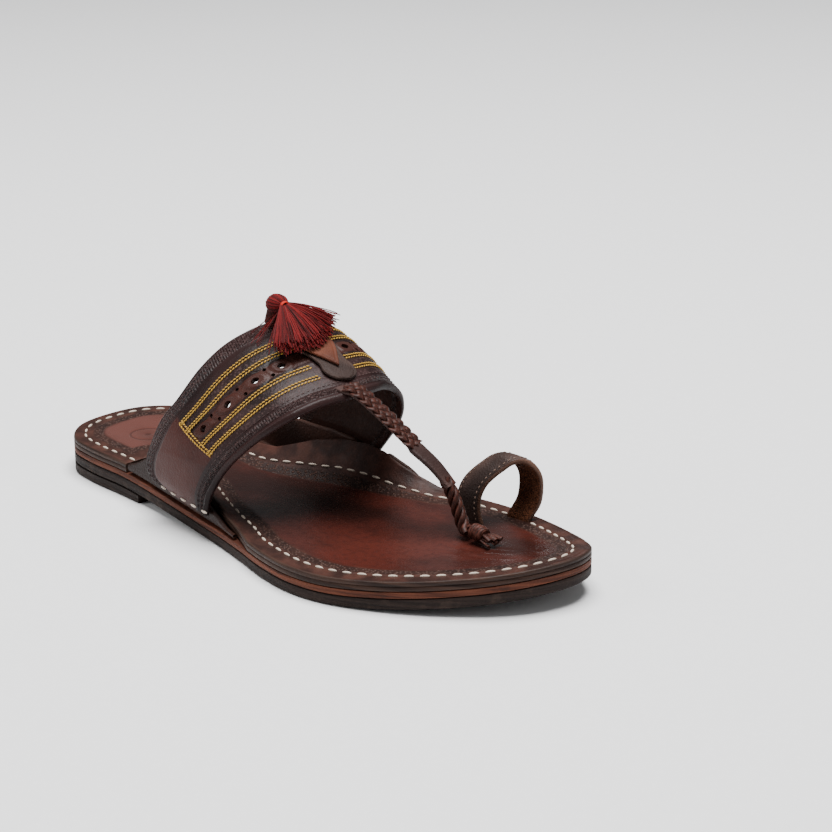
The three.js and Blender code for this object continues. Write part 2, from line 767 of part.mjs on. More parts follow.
function ringSection(place, normal) {
  const outer = [];
  const inner = [];
  for (const share of [-1, 0, 1]) {
    const x = place.x + (share * ringWidth) / 2;
    const crown = share === 0 ? ringCrown : 0;
    const base = point(x, place.y, camber(place.x) + topsoleTop + place.z);
    outer.push(base.clone().addScaledVector(normal, crown));
    inner.push(base.clone().addScaledVector(normal, crown - ringWall));
  }
  return { outer, inner };
}

function toeRing() {
  const sections = [];
  const foot = (share, out) => {
    const place = ringPath.getPoint(share);
    place.z = -ringTang;
    sections.push(ringSection(place, point(0, out, 0)));
  };
  foot(0, -1);
  for (let i = 0; i <= ringSteps; i += 1) {
    const share = i / ringSteps;
    const tangent = ringPath.getTangent(share);
    const normal = point(0, -tangent.z, tangent.y).normalize();
    const blend = clamp(Math.min(share, 1 - share) * ringSteps / 2, 0, 1);
    normal.lerp(point(0, share < 0.5 ? -1 : 1, 0), 1 - blend).normalize();
    sections.push(ringSection(ringPath.getPoint(share), normal));
  }
  foot(1, 1);
  return loftSheet(sections, true);
}

function ringSlot(share, out) {
  const place = ringPath.getPoint(share);
  const height = 4 * topsoleThick;
  const slot = new THREE.BoxGeometry(ringWidth + 2 * glueLine, ringWall + ringCrown + 2 * glueLine, height);
  const floor = camber(place.x) + topsoleTop - ringTang - glueLine;
  const middle = place.y + (out * (ringCrown - ringWall)) / 2;
  slot.translate(place.x, middle, floor + height / 2);
  return slot;
}

function topsole() {
  const blank = manifoldOf(topsoleBlank());
  return geometryOf(blank.subtract(manifoldOf(ringSlot(0, -1))).subtract(manifoldOf(ringSlot(1, 1))));
}

// Thin leather laid on the band, in stations along its own axis
function bandPatch({ axis, widths, width, clear, wall }) {
  const sections = [];
  for (const row of widths) {
    const across = axis.from.across + (axis.to.across - axis.from.across) * row.along;
    const down = axis.from.down + (axis.to.down - axis.from.down) * row.along;
    const step = 0.01;
    const centre = bandPlace(across, down, 0);
    const perAcross = bandPlace(across + step, down, 0).distanceTo(centre) / step;
    const perDown = bandPlace(across, down + step, 0).distanceTo(centre) / step;
    const axisAcross = (axis.to.across - axis.from.across) * perAcross;
    const axisDown = (axis.to.down - axis.from.down) * perDown;
    const length = Math.hypot(axisAcross, axisDown);
    const outer = [];
    const inner = [];
    for (const share of [-1, -0.5, 0, 0.5, 1]) {
      const offset = share * row.half * width;
      const atAcross = across + (offset * axisDown) / length / perAcross;
      const atDown = down - (offset * axisAcross) / length / perDown;
      outer.push(bandPlace(atAcross, atDown, clear + wall));
      inner.push(bandPlace(atAcross, atDown, clear));
    }
    sections.push({ outer, inner });
  }
  return loftSheet(sections, false);
}

// Knot: strands wrapped into a bundle that lies on the topsole, with split ends toward the toe
function toeKnot() {
  const path = strandPath();
  const start = path.getPoint(1);
  const tangent = path.getTangent(1).setZ(0).normalize();
  const profile = [[0, 0]];
  for (let i = 0; i <= 2 * knotWraps; i += 1) {
    const ridge = i % 2 === 0 ? 0.86 : 1;
    profile.push([(knotWidth / 2) * ridge, (knotLength * i) / (2 * knotWraps)]);
  }
  profile.push([0, knotLength]);
  const wrap = new THREE.LatheGeometry(profile.map(([x, y]) => new THREE.Vector2(x, y)), 9);
  wrap.rotateZ(-Math.PI / 2);
  wrap.rotateZ(Math.atan2(tangent.y, tangent.x));
  const x = start.x + strandWidth * 0.6;
  const aside = point(-tangent.y, tangent.x, 0);
  const lift = knotWidth / 2 + glueLine;
  const base = point(x, start.y, camber(x + knotLength) + topsoleTop + lift);
  wrap.translate(base.x, base.y, base.z);
  let body = manifoldOf(wrap);
  for (const end of knotEnds) {
    const root = base.clone().addScaledVector(tangent, knotLength * 0.7);
    root.addScaledVector(aside, (end.aside - 0.5) * knotWidth * 0.3);
    const tip = base.clone().addScaledVector(tangent, knotLength + end.length * endLength);
    tip.addScaledVector(aside, end.aside * knotWidth);
    tip.z = camber(tip.x) + topsoleTop + endWidth / 2 + glueLine + end.rise * knotWidth;
    const middle = root.clone().lerp(tip, 0.55);
    middle.z += 0.6;
    body = body.add(manifoldOf(rod(new THREE.QuadraticBezierCurve3(root, middle, tip), endWidth, 5, 3)));
  }
  return geometryOf(body);
}

// Tassel: wrapped stalk on the rear edge of the crown, ball head, and a skirt of locks fanned forward
function lock(root, tip, sag, width) {
  const middle = root.clone().lerp(tip, 0.5);
  middle.z += sag;
  const curve = new THREE.QuadraticBezierCurve3(root, middle, tip);
  const sections = [];
  const steps = 3;
  for (let i = 0; i <= steps; i += 1) {
    const share = i / steps;
    const place = curve.getPoint(share);
    const tangent = curve.getTangent(share);
    const aside = new THREE.Vector3().crossVectors(tangent, point(0, 0, 1)).normalize();
    const up = new THREE.Vector3().crossVectors(aside, tangent).normalize();
    const half = (width / 2) * (0.45 + 0.8 * share - 0.35 * share ** 4);
    const corner = (a, b) => place.clone().addScaledVector(aside, a * half).addScaledVector(up, b * half * 0.7);
    sections.push({
      outer: [corner(-1, 0), corner(0, 1), corner(1, 0)],
      inner: [corner(-0.8, -0.4), corner(0, -0.9), corner(0.8, -0.4)],
    });
  }
  return loftSheet(sections, true);
}

function tassel() {
  const seat = bandPlace(tasselSeat.across, tasselSeat.down, 0);
  const head = seat.clone().add(point(tasselLean, 0, tasselStalk + tasselHead / 2));
  const ball = new THREE.SphereGeometry(tasselHead / 2, 10, 7);
  ball.scale(1, 1, 0.87);
  ball.translate(head.x, head.y, head.z);
  const stalk = rod(new THREE.LineCurve3(seat, head), tasselHead * 0.8, 8, 2);
  const neck = head.clone().add(point(tasselHead * 0.5, 0, -tasselHead * 0.05));
  const collar = rod(new THREE.LineCurve3(head, neck.clone().lerp(head, -0.15)), tasselNeck, 8, 1);
  let body = manifoldOf(ball).add(manifoldOf(stalk)).add(manifoldOf(collar));
  const overLeaf = tabWall + leafWall + 3 * glueLine + lockWidth * 0.38;
  for (let layer = 0; layer < 2; layer += 1) {
    const count = lockCount - layer;
    for (let i = 0; i < count; i += 1) {
      const share = (i + 0.5 * layer) / (lockCount - 1);
      const across = readTable(fanTable, 'across', share);
      const down = readTable(fanTable, 'down', share) - 0.03 * layer;
      const tip = bandPlace(across, down, overLeaf + layer * lockWidth * 0.8);
      const root = neck.clone().add(point(0, (share - 0.5) * tasselNeck * 0.7, (layer - 0.6) * tasselNeck * 0.3));
      root.addScaledVector(tip.clone().sub(root), -0.06);
      body = body.add(manifoldOf(lock(root, tip, 0.05 * tasselLength, lockWidth)));
    }
  }
  return geometryOf(solidOf(body.subtract(manifoldOf(bandBlank(glueLine)))));
}

const group = new THREE.Group();

function piece(name, geometry, material) {
  const mesh = new THREE.Mesh(geometry, material);
  mesh.name = name;
  mesh.geometry.computeVertexNormals();
  group.add(mesh);
}

function upper() {
  let body = manifoldOf(bandBlank(0));
  const { large, small } = punchPlaces();
  for (const across of large) {
    body = body.subtract(manifoldOf(punch(across, punchDown, punchLength, punchWidth, 8, 1.4)));
  }
  for (const across of small) {
    for (const shift of [-0.045, 0.045]) {
      body = body.subtract(manifoldOf(punch(across, punchDown + shift, pinholeWidth, pinholeWidth, 6, 1)));
    }
  }
  body = body.add(manifoldOf(strapBase()));
  for (let row = 1; row < braidRows; row += 1) {
    body = body.add(manifoldOf(braidStrip(row, -1)));
    body = body.add(manifoldOf(braidStrip(row, 1)));
  }
  for (let i = 0; i < strandCount; i += 1) {
    body = body.add(manifoldOf(rod(strandCurve(i), strandWidth, 5, strandSteps)));
  }
  return geometryOf(solidOf(body));
}

piece('heel_lift', heelLift(), leather.outsole);
piece('outsole', flatLayer(0, outsoleTop), leather.outsole);
piece('midsole', flatLayer(midsoleFloor, midsoleTop), leather.midsole);
piece('topsole', topsole(), leather.topsole);
piece('ear_lateral', ear('lateral'), leather.ear);
piece('ear_medial', ear('medial'), leather.ear);
piece('upper', upper(), leather.band);
piece('strap_tab', bandPatch({ ...tab, width: tabWidth, clear: glueLine, wall: tabWall }), leather.overlay);
piece('leaf_overlay', bandPatch({
  ...leaf,
  width: leafWidth,
  clear: tabWall + 2 * glueLine,
  wall: leafWall,
}), leather.overlay);
piece('toe_ring', toeRing(), leather.band);
piece('toe_knot', toeKnot(), leather.lace);
piece('tassel', tassel(), leather.thread);

// Middle of the sole's box over the origin, tread on the floor
const whole = new THREE.Box3().setFromObject(group);
const middle = whole.getCenter(point(0, 0, 0));
group.position.set(-middle.x, -middle.y, -whole.min.z);

export default group;
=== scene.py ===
# %% [markdown]
# # A kolhapuri sandal
# This notebook gives the looks to one right-foot kolhapuri: a flat stitched sole, an instep band that stands
# on its edge as an arch, a plaited strap, a toe ring and a red tassel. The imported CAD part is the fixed
# frame. Each visible piece is rebuilt here from the same millimetre sizes, only finer, and takes its place.

import math

import bmesh
import bpy
import numpy as np
from mathutils import Matrix, Vector, kdtree


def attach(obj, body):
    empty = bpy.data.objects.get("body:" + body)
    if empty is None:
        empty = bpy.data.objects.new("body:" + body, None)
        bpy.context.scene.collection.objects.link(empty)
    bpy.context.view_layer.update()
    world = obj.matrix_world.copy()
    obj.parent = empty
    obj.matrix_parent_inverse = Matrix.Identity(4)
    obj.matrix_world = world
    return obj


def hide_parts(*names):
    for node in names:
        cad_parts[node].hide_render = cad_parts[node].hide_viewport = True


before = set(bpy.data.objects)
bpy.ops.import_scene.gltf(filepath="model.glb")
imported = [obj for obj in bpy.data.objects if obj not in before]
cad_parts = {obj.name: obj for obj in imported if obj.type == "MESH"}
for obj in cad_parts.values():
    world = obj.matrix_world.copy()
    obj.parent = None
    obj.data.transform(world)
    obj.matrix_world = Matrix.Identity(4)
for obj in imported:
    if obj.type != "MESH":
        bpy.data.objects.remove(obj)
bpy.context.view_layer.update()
print("CAD nodes:", sorted(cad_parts))

# %% [markdown]
# ## Sizes
# A sandal maker starts from the foot's length and the width of the ball, so those lead here too. All are in
# millimetres, measured from the back of the heel (X), across to the big-toe side (Y) and up (Z).

# %% Driving sizes
foot_length = 270
ball_width = 106
glue_line = 0.3
outsole_top = 4.4
midsole_floor, midsole_top = 4.7, 7.3
topsole_floor, topsole_top = 7.6, 11.6
heel_breast = 66
heel_lift = 4.6
toe_spring = 8.2
margin_width = 15
notch_depth = 15
margin_lift = 16
ear_height = 20
ear_thick = 2
instep_rise = 72
band_wall = 2.6
band_bulge = 2.5
strap_width = 9
strap_wall = 2.4
ring_width = 12.5
ring_wall = 2.4
ring_rise = 27.3
frame_shift = np.array([135.0, 1.05, 0.0])

plan_rows = np.array([
    (0.012, -0.15, 0.185), (0.055, -0.262, 0.3), (0.11, -0.295, 0.332), (0.2, -0.306, 0.33),
    (0.3, -0.325, 0.319), (0.39, -0.346, 0.318), (0.46, -0.376, 0.338), (0.54, -0.423, 0.386),
    (0.61, -0.47, 0.446), (0.678, -0.491, 0.492), (0.74, -0.47, 0.51), (0.8, -0.408, 0.498),
    (0.855, -0.326, 0.464), (0.905, -0.228, 0.417), (0.95, -0.117, 0.363), (0.985, 0.02, 0.295),
])
waist_rows = {
    "lateral": np.array([
        (0.214, 1, 0), (0.35, 0.867, 0.12), (0.407, 0.5, 0.28), (0.445, 0.307, 0.28), (0.482, 0.227, 0.12),
        (0.52, 0.173, 0.03), (0.565, 0, 0),
    ]),
    "medial": np.array([
        (0.214, 1, 0), (0.35, 0.8, 0.4), (0.415, 0.4, 0.85), (0.465, 0.2, 1), (0.505, 0.173, 1),
        (0.535, 0.173, 0.88), (0.56, 0.173, 0.62), (0.59, 0.173, 0.38), (0.625, 0.16, 0.15), (0.665, 0, 0),
    ]),
}
ear_rows = {
    "lateral": np.array([
        (0.219, 0.2), (0.245, 0.36), (0.275, 0.62), (0.31, 0.85), (0.36, 1), (0.405, 0.9), (0.43, 0.6),
        (0.445, 0.36), (0.482, 0.3), (0.52, 0.18),
    ]),
    "medial": np.array([
        (0.219, 0.2), (0.245, 0.36), (0.275, 0.62), (0.31, 0.85), (0.36, 1.05), (0.43, 1.1), (0.482, 1),
        (0.49, 0.52), (0.522, 0.52), (0.532, 0.88), (0.56, 0.68), (0.59, 0.47), (0.64, 0.22),
    ]),
}
band_rows = np.array([
    (0.327, -1, 0.05, 0.451, -1, 0.012), (0.303, -1.07, 0.12, 0.458, -0.98, 0.12),
    (0.301, -1.08, 0.2, 0.473, -0.94, 0.225), (0.313, -1.06, 0.315, 0.494, -0.89, 0.33),
    (0.331, -1, 0.465, 0.518, -0.82, 0.43), (0.356, -0.9, 0.6, 0.558, -0.67, 0.576),
    (0.379, -0.685, 0.785, 0.584, -0.49, 0.667), (0.396, -0.45, 0.905, 0.599, -0.27, 0.715),
    (0.411, -0.2, 0.975, 0.609, -0.08, 0.728), (0.423, 0.06, 1.01, 0.611, 0.1, 0.728),
    (0.43, 0.34, 1.01, 0.607, 0.28, 0.722), (0.431, 0.65, 0.985, 0.599, 0.47, 0.7),
    (0.425, 0.89, 0.87, 0.593, 0.61, 0.655), (0.409, 0.98, 0.68, 0.589, 0.72, 0.585),
    (0.388, 1.05, 0.52, 0.58, 0.795, 0.49), (0.364, 1.07, 0.36, 0.559, 0.88, 0.37),
    (0.338, 1.06, 0.22, 0.529, 0.94, 0.23), (0.326, 1, 0.09, 0.497, 1, 0.09),
])
strap_rows = np.array([
    (0.5886, 0.0065, 0.757, 1.2), (0.6022, 0.0075, 0.751, 1.2), (0.6111, 0.0095, 0.743, 1.2),
    (0.655, 0.0245, 0.622, 1.12), (0.702, 0.0395, 0.48, 1), (0.735, 0.049, 0.39, 0.85),
    (0.762, 0.056, 0.29, 0.7),
])
strand_rows = np.array([
    (0.752, 0.0535, 0.325), (0.766, 0.0575, 0.22), (0.776, 0.059, 0.13), (0.787, 0.058, 0.06),
    (0.8, 0.056, 0),
])
ring_rows = np.array([
    (0.745, 0.286, 0), (0.7424, 0.277, 0.22), (0.7435, 0.281, 0.46), (0.749, 0.3, 0.652),
    (0.757, 0.328, 0.788), (0.765, 0.357, 0.886), (0.7735, 0.385, 0.971), (0.782, 0.413, 1),
    (0.789, 0.438, 0.971), (0.7965, 0.463, 0.857), (0.801, 0.479, 0.711), (0.8025, 0.483, 0.527),
    (0.8, 0.476, 0.25), (0.791, 0.443, 0),
])
print("stations on the plan:", len(plan_rows), "over the band:", len(band_rows))

# %% [markdown]
# ## Small tools
# Most of the sandal is sheet leather bent along a line. So there is one tool for a smooth line through a few
# points, one that closes a run of sections into a solid, and one that hands a finished piece to the frame.

# %% Curves and tables
def smooth_run(points, closed=False):
    """A smooth curve through the points, read at shares from 0 to 1."""
    knots = np.array(points, float)
    count = len(knots)
    spans = count if closed else count - 1

    def gap(start, end):
        return np.maximum(((end - start) ** 2).sum(1), 1e-30)[:, None] ** 0.25

    def at(shares):
        place = np.atleast_1d(np.clip(shares, 0, 1)) * spans
        first = np.minimum(place.astype(int), spans - 1)
        w = (place - first)[:, None]
        p0, p1, p2, p3 = (knots[(first + k) % count].copy() for k in (-1, 0, 1, 2))
        if not closed:
            p0[first == 0] = 2 * knots[0] - knots[1]
            p3[first == spans - 1] = 2 * knots[-1] - knots[-2]
        d0, d1, d2 = gap(p0, p1), gap(p1, p2), gap(p2, p3)
        t1 = ((p1 - p0) / d0 - (p2 - p0) / (d0 + d1) + (p2 - p1) / d1) * d1
        t2 = ((p2 - p1) / d1 - (p3 - p1) / (d1 + d2) + (p3 - p2) / d2) * d1
        cube = (-3 * p1 + 3 * p2 - 2 * t1 - t2) * w**2 + (2 * p1 - 2 * p2 + t1 + t2) * w**3
        return p1 + t1 * w + cube

    return at


def unit(vectors):
    return vectors / np.maximum(np.linalg.norm(vectors, axis=-1, keepdims=True), 1e-12)


def ease(share):
    share = np.clip(share, 0, 1)
    return share * share * (3 - 2 * share)


def hill(distance, width):
    """1 on a line, falling away to 0 over the width beside it."""
    return np.exp(-((distance / width) ** 2))


def in_frame(points):
    """From millimetres on the shoe to metres in the frame."""
    return (np.asarray(points, float) - frame_shift) / 1000


# %% [markdown]
# ## From sections to a solid
# Blender builds a mesh from points and faces. Nearly every leather piece here is a loft: closed sections set
# one after another and joined by quads. Doubled points are merged and the faces are turned outward, so that
# the wall is one closed skin. Numbers that a finish needs later are stored on the points as marks.

# %% Meshes
def plain_mesh(name, points, faces, marks=None, sharp=40):
    """A closed mesh from points in millimetres, facing outward, with its marks as point attributes."""
    mesh = bpy.data.meshes.new(name)
    mesh.from_pydata(in_frame(points).reshape(-1, 3).tolist(), [], faces)
    for mark, values in (marks or {}).items():
        layer = mesh.attributes.new(mark, "FLOAT", "POINT")
        layer.data.foreach_set("value", np.asarray(values, np.float32).ravel())
    shape = bmesh.new()
    shape.from_mesh(mesh)
    bmesh.ops.remove_doubles(shape, verts=shape.verts, dist=2e-6)
    bmesh.ops.dissolve_degenerate(shape, dist=1e-7, edges=shape.edges)
    if shape.calc_volume(signed=True) < 0:
        bmesh.ops.reverse_faces(shape, faces=shape.faces)
    shape.to_mesh(mesh)
    shape.free()
    mesh.polygons.foreach_set("use_smooth", [True] * len(mesh.polygons))
    mesh.set_sharp_from_angle(angle=math.radians(sharp))
    piece = bpy.data.objects.new(name, mesh)
    bpy.context.scene.collection.objects.link(piece)
    return piece


def loft(name, loops, marks=None, caps=(True, True), sharp=40):
    """Joins closed sections, given as [section, point around, xyz], and caps the two ends."""
    loops = np.asarray(loops, float)
    count, around = loops.shape[:2]
    first = np.arange(count - 1)[:, None] * around
    here = np.arange(around)[None]
    after = (here + 1) % around
    quads = np.stack([first + here, first + after, first + around + after, first + around + here], -1)
    faces = quads.reshape(-1, 4).tolist()
    if caps[0]:
        faces.append(list(range(around))[::-1])
    if caps[1]:
        faces.append(list(range((count - 1) * around, count * around)))
    return plain_mesh(name, loops, faces, marks, sharp)


def hand_over(piece, slot, nodes, material=None):
    """The piece rides with the part, takes the given finish and stands for CAD nodes; the slot is not used.
    """
    if material is not None:
        piece.data.materials.clear()
        piece.data.materials.append(material)
    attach(piece, "root")
    for node in nodes:
        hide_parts(node)
    piece.data.calc_loop_triangles()
    print(f"{piece.name}: {len(piece.data.loop_triangles)} triangles for {', '.join(nodes)}")


# %% [markdown]
# ## Finishes
# Vegetable-tanned leather is never one flat colour: dye pools in the pores, edges darken and touched places
# shine. Each finish below mixes noise and cells into the colour, the roughness and a fine bump. The marks
# stored on the meshes, such as the distance from the edge, tell a finish where it is on the sandal.

# %% Finish kit
def srgb(red, green, blue):
    values = [c / 255 for c in (red, green, blue)]
    return tuple([c / 12.92 if c < 0.04 else ((c + 0.055) / 1.055) ** 2.4 for c in values] + [1])


oiled_gleam = 0.13


class Finish:
    """A material under construction, with short names for the nodes used most."""

    def __init__(self, name):
        self.material = bpy.data.materials.new(name)
        self.material.use_nodes = True
        self.tree = self.material.node_tree
        self.shader = self.tree.nodes["Principled BSDF"]
        self.place = self.tree.nodes.new("ShaderNodeTexCoord").outputs["Object"]

    def feed(self, socket, value):
        if isinstance(value, bpy.types.NodeSocket):
            self.tree.links.new(value, socket)
        else:
            socket.default_value = value

    def math(self, operation, first, second=0.0):
        node = self.tree.nodes.new("ShaderNodeMath")
        node.operation = operation
        self.feed(node.inputs[0], first)
        self.feed(node.inputs[1], second)
        return node.outputs[0]

    def plus(self, first, second):
        return self.math("ADD", first, second)

    def times(self, first, second):
        return self.math("MULTIPLY", first, second)

    def stretched(self, stretch):
        node = self.tree.nodes.new("ShaderNodeMapping")
        self.tree.links.new(self.place, node.inputs["Vector"])
        node.inputs["Scale"].default_value = stretch
        return node.outputs[0]

    def noise(self, scale, detail=4.0, stretch=None):
        node = self.tree.nodes.new("ShaderNodeTexNoise")
        self.tree.links.new(self.stretched(stretch) if stretch else self.place, node.inputs["Vector"])
        node.inputs["Scale"].default_value = scale
        node.inputs["Detail"].default_value = detail
        return node.outputs[0]

    def cells(self, scale):
        node = self.tree.nodes.new("ShaderNodeTexVoronoi")
        self.tree.links.new(self.place, node.inputs["Vector"])
        node.inputs["Scale"].default_value = scale
        return node.outputs[0]

    def mark(self, name):
        node = self.tree.nodes.new("ShaderNodeAttribute")
        node.attribute_name = name
        return node.outputs["Fac"]

    def step(self, value, low, high):
        node = self.tree.nodes.new("ShaderNodeMapRange")
        node.interpolation_type = "SMOOTHSTEP"
        self.feed(node.inputs["Value"], value)
        node.inputs["From Min"].default_value = low
        node.inputs["From Max"].default_value = high
        return node.outputs[0]

    def between(self, value, low, high, soft):
        rise = self.step(value, low - soft, low + soft)
        fall = self.step(value, high - soft, high + soft)
        return self.math("SUBTRACT", rise, fall)

    def blend(self, share, first, second):
        node = self.tree.nodes.new("ShaderNodeMix")
        node.data_type = "RGBA"
        self.feed(node.inputs[0], share)
        self.feed(node.inputs[6], first)
        self.feed(node.inputs[7], second)
        return node.outputs[2]

    def scaled(self, value, low, high):
        node = self.tree.nodes.new("ShaderNodeMapRange")
        self.feed(node.inputs["Value"], value)
        node.inputs["To Min"].default_value = low
        node.inputs["To Max"].default_value = high
        return node.outputs[0]

    def bump(self, height, strength, depth, under=None):
        node = self.tree.nodes.new("ShaderNodeBump")
        node.inputs["Distance"].default_value = depth
        self.feed(node.inputs["Strength"], strength)
        self.tree.links.new(height, node.inputs["Height"])
        if under is not None:
            self.tree.links.new(under, node.inputs["Normal"])
        return node.outputs[0]

    def done(self, colour, rough, normal, **extra):
        self.feed(self.shader.inputs["Base Color"], colour)
        self.feed(self.shader.inputs["Roughness"], rough)
        self.feed(self.shader.inputs["Normal"], normal)
        self.feed(self.shader.inputs["Specular IOR Level"], oiled_gleam)
        for name, value in extra.items():
            self.feed(self.shader.inputs[name.replace("_", " ")], value)
        return self.material


def leather(name, dark, light, rough=(0.38, 0.55), grain=1100, grain_depth=0.0003):
    """Plain grained leather between two tones."""
    finish = Finish(name)
    patches = finish.step(finish.noise(45, 5), 0.35, 0.68)
    pores = finish.cells(grain)
    speckle = finish.noise(2600, 2)
    tone = finish.blend(patches, dark, light)
    tone = finish.blend(finish.times(finish.step(pores, 0.45, 0.15), 0.35), tone, dark)
    shine = finish.scaled(finish.noise(300, 3), rough[0], rough[1])
    normal = finish.bump(pores, 0.45, grain_depth)
    normal = finish.bump(speckle, 0.25, grain_depth * 0.6, normal)
    return finish.done(tone, shine, normal)


# %% [markdown]
# ## Plain leathers and threads
# The ears, the strap, the leaf and the tab are plain leather, so two tones and a grain are enough. A lace
# shows its lengthwise fibre, and a thread the twist it was spun with. One function for each kind keeps the
# finishes of one sandal alike.

# %% Plain finishes
ear_finish = leather("ear_leather", srgb(30, 16, 12), srgb(52, 31, 24), (0.42, 0.58))
strap_finish = leather("strap_leather", srgb(44, 30, 28), srgb(72, 53, 49), (0.42, 0.55), 900)
border_finish = leather("border_cord", srgb(40, 27, 27), srgb(76, 58, 56), (0.42, 0.55), 900)
leaf_finish = leather("leaf_leather", srgb(56, 27, 18), srgb(100, 54, 36), (0.5, 0.7), 1500, 0.0003)
tab_finish = leather("tab_leather", srgb(38, 27, 24), srgb(66, 50, 44), (0.5, 0.68), 1500, 0.0004)


def laced(name, dark, light):
    """Flat cut lace: lengthwise fibre, and a tone of its own for each."""
    finish = Finish(name)
    fibre = finish.noise(900, 4, (1, 1, 0.4))
    tone = finish.blend(finish.step(fibre, 0.35, 0.7), dark, light)
    tone = finish.blend(finish.times(finish.mark("tone"), 0.5), tone, dark)
    return finish.done(tone, 0.46, finish.bump(fibre, 0.5, 0.0004))


lace_finish = laced("lace_leather", srgb(38, 19, 15), srgb(80, 43, 34))


def thread(name, dark, light, rough=0.6, sheen=0.0, metal=0.0):
    """Spun thread: fine twist across its length and a little fuzz."""
    finish = Finish(name)
    twist = finish.noise(3500, 3)
    share = finish.plus(finish.times(twist, 0.5), finish.times(finish.mark("tone"), 0.5))
    tone = finish.blend(finish.step(share, 0.2, 0.75), dark, light)
    normal = finish.bump(twist, 0.5, 0.0002)
    return finish.done(tone, rough, normal, Sheen_Weight=sheen, Metallic=metal)


white_thread = thread("white_thread", srgb(186, 172, 158), srgb(244, 236, 226))
ring_thread = thread("ring_thread", srgb(104, 84, 74), srgb(168, 146, 134))
gold_thread = thread("gold_thread", srgb(170, 132, 56), srgb(240, 212, 130), 0.42, 0.0, 0.12)
red_thread = thread("tassel_thread", srgb(46, 5, 6), srgb(112, 18, 19), 0.75, 0.04)
collar_thread = thread("collar_thread", srgb(130, 20, 14), srgb(196, 48, 34), 0.65)
brown_thread = thread("stalk_thread", srgb(36, 10, 8), srgb(92, 32, 24), 0.65)
print("finishes so far:", len(bpy.data.materials))

# %% [markdown]
# ## The sole's outline
# The maker draws round a paper pattern. Here the pattern is one closed smooth curve; set in a little it also
# gives the rounded edges and the stitch line. The underside leaves the floor at the arch and at the toe.

# %% Outline, camber and waist
def sole_ring(inset, turns):
    """Points of the outline, set in by an inset that may vary round it."""
    lateral = plan_rows[:, [0, 1]] * (foot_length, ball_width)
    medial = plan_rows[::-1, [0, 2]] * (foot_length, ball_width)
    heel = [(0, 0.02 * ball_width)]
    toe = [(foot_length, 0.18 * ball_width)]
    flat = np.concatenate([heel, lateral, toe, medial])
    loop = smooth_run(np.column_stack([flat, np.zeros(len(flat))]), closed=True)
    place = loop(turns)
    ahead = unit(loop((turns + 1e-4) % 1) - loop((turns - 1e-4) % 1))
    inward = np.stack([-ahead[:, 1], ahead[:, 0], np.zeros(len(place))], 1)
    return place + inward * np.reshape(inset, (-1, 1))


def sole_sides(inset):
    """First and last X of the outline, and its two sides as functions of X."""
    ring = sole_ring(inset, np.arange(2400) / 2400)
    ring = np.roll(ring, -ring[:, 0].argmin(), axis=0)
    toe = ring[:, 0].argmax()
    lateral = ring[: toe + 1]
    medial = np.concatenate([ring[toe:], ring[:1]])[::-1]

    def reader(side):
        return lambda x: np.interp(x, np.maximum.accumulate(side[:, 0]), side[:, 1])

    return ring[0, 0], ring[toe, 0], reader(lateral), reader(medial)


plan_start, plan_end, lateral_edge, medial_edge = sole_sides(0)
edge_of = {"lateral": lateral_edge, "medial": medial_edge}
sign_of = {"lateral": -1, "medial": 1}


def camber(x):
    share = np.asarray(x, float) / foot_length
    heel = ease((0.445 - share) / (0.445 - 0.185))
    toe = np.clip((share - 0.7) / 0.3, 0, 1)
    return heel_lift * heel + toe_spring * toe**2


def waist(side, column, x):
    """How far the topsole is set in (column 1) or its margin lifted (column 2)."""
    rows = waist_rows[side]
    share = np.asarray(x, float) / foot_length
    reach = notch_depth if column == 1 else margin_lift
    return np.where(share < rows[0, 0], 0, np.interp(share, rows[:, 0], rows[:, column])) * reach


def stations(count, start, end, extra=()):
    turns = (1 - np.cos(np.pi * np.linspace(0, 1, count))) / 2
    return np.unique(np.concatenate([start + (end - start) * turns, extra]))


print(f"outline from {plan_start:.1f} to {plan_end:.1f} mm")

# %% [markdown]
# ## Outsole, midsole and heel lift
# Under the footbed lie a rust-coloured ply and a black-brown tread ply with a low heel lift. They were cut
# together and the edge was rasped, so each gets a softly rounded edge and layered streaks along it.

# %% Lower layers
def edge_profile(floor, top, low, high, groove=0.0):
    """Rows of inset and height from the underside round the edge to the top face."""
    turn = np.linspace(-math.pi / 2, 0, 5)
    rows = [(low * (1 - math.cos(a)), floor + low * (1 + math.sin(a))) for a in turn]
    if groove:
        middle = (floor + top) / 2
        rows += [(0, middle - 0.35), (groove, middle), (0, middle + 0.35)]
    turn = np.linspace(0, math.pi / 2, 5)
    rows += [(high * (1 - math.cos(a)), top - high * (1 - math.sin(a))) for a in turn]
    return rows


def flat_ply(name, floor, top, low, high):
    """A ply of the sole with a plain top, as sections across the shoe."""
    profile = edge_profile(floor, top, low, high)
    sides = [sole_sides(inset) for inset, _ in profile]
    share = (1 - np.cos(np.pi * np.linspace(0, 1, 240))) / 2
    loops = []
    for chosen, order in ((2, range(len(profile))), (3, reversed(range(len(profile))))):
        for level in order:
            x = sides[level][0] + (sides[level][1] - sides[level][0]) * share
            loops.append(np.stack([x, sides[level][chosen](x), camber(x) + profile[level][1]], 1))
    return loft(name, np.stack(loops, 1), caps=(False, False), sharp=50)


def heel_block():
    profile = [(0.9, 0), (0.35, 0.25), (0, 0.9), (0, 1.9), (0.08, 2.1), (0, 2.3), (0, 4.3)]
    sides = [sole_sides(inset) for inset, _ in profile]
    share = 1 - np.cos(math.pi / 2 * np.linspace(0, 1, 90))
    loops = []
    for chosen, order in ((2, range(len(profile))), (3, reversed(range(len(profile))))):
        for level in order:
            x = sides[level][0] + (heel_breast - sides[level][0]) * share
            height = np.minimum(profile[level][1], camber(x) - glue_line)
            loops.append(np.stack([x, sides[level][chosen](x), height], 1))
    return loft("heel_lift_block", np.stack(loops, 1), caps=(False, True), sharp=50)


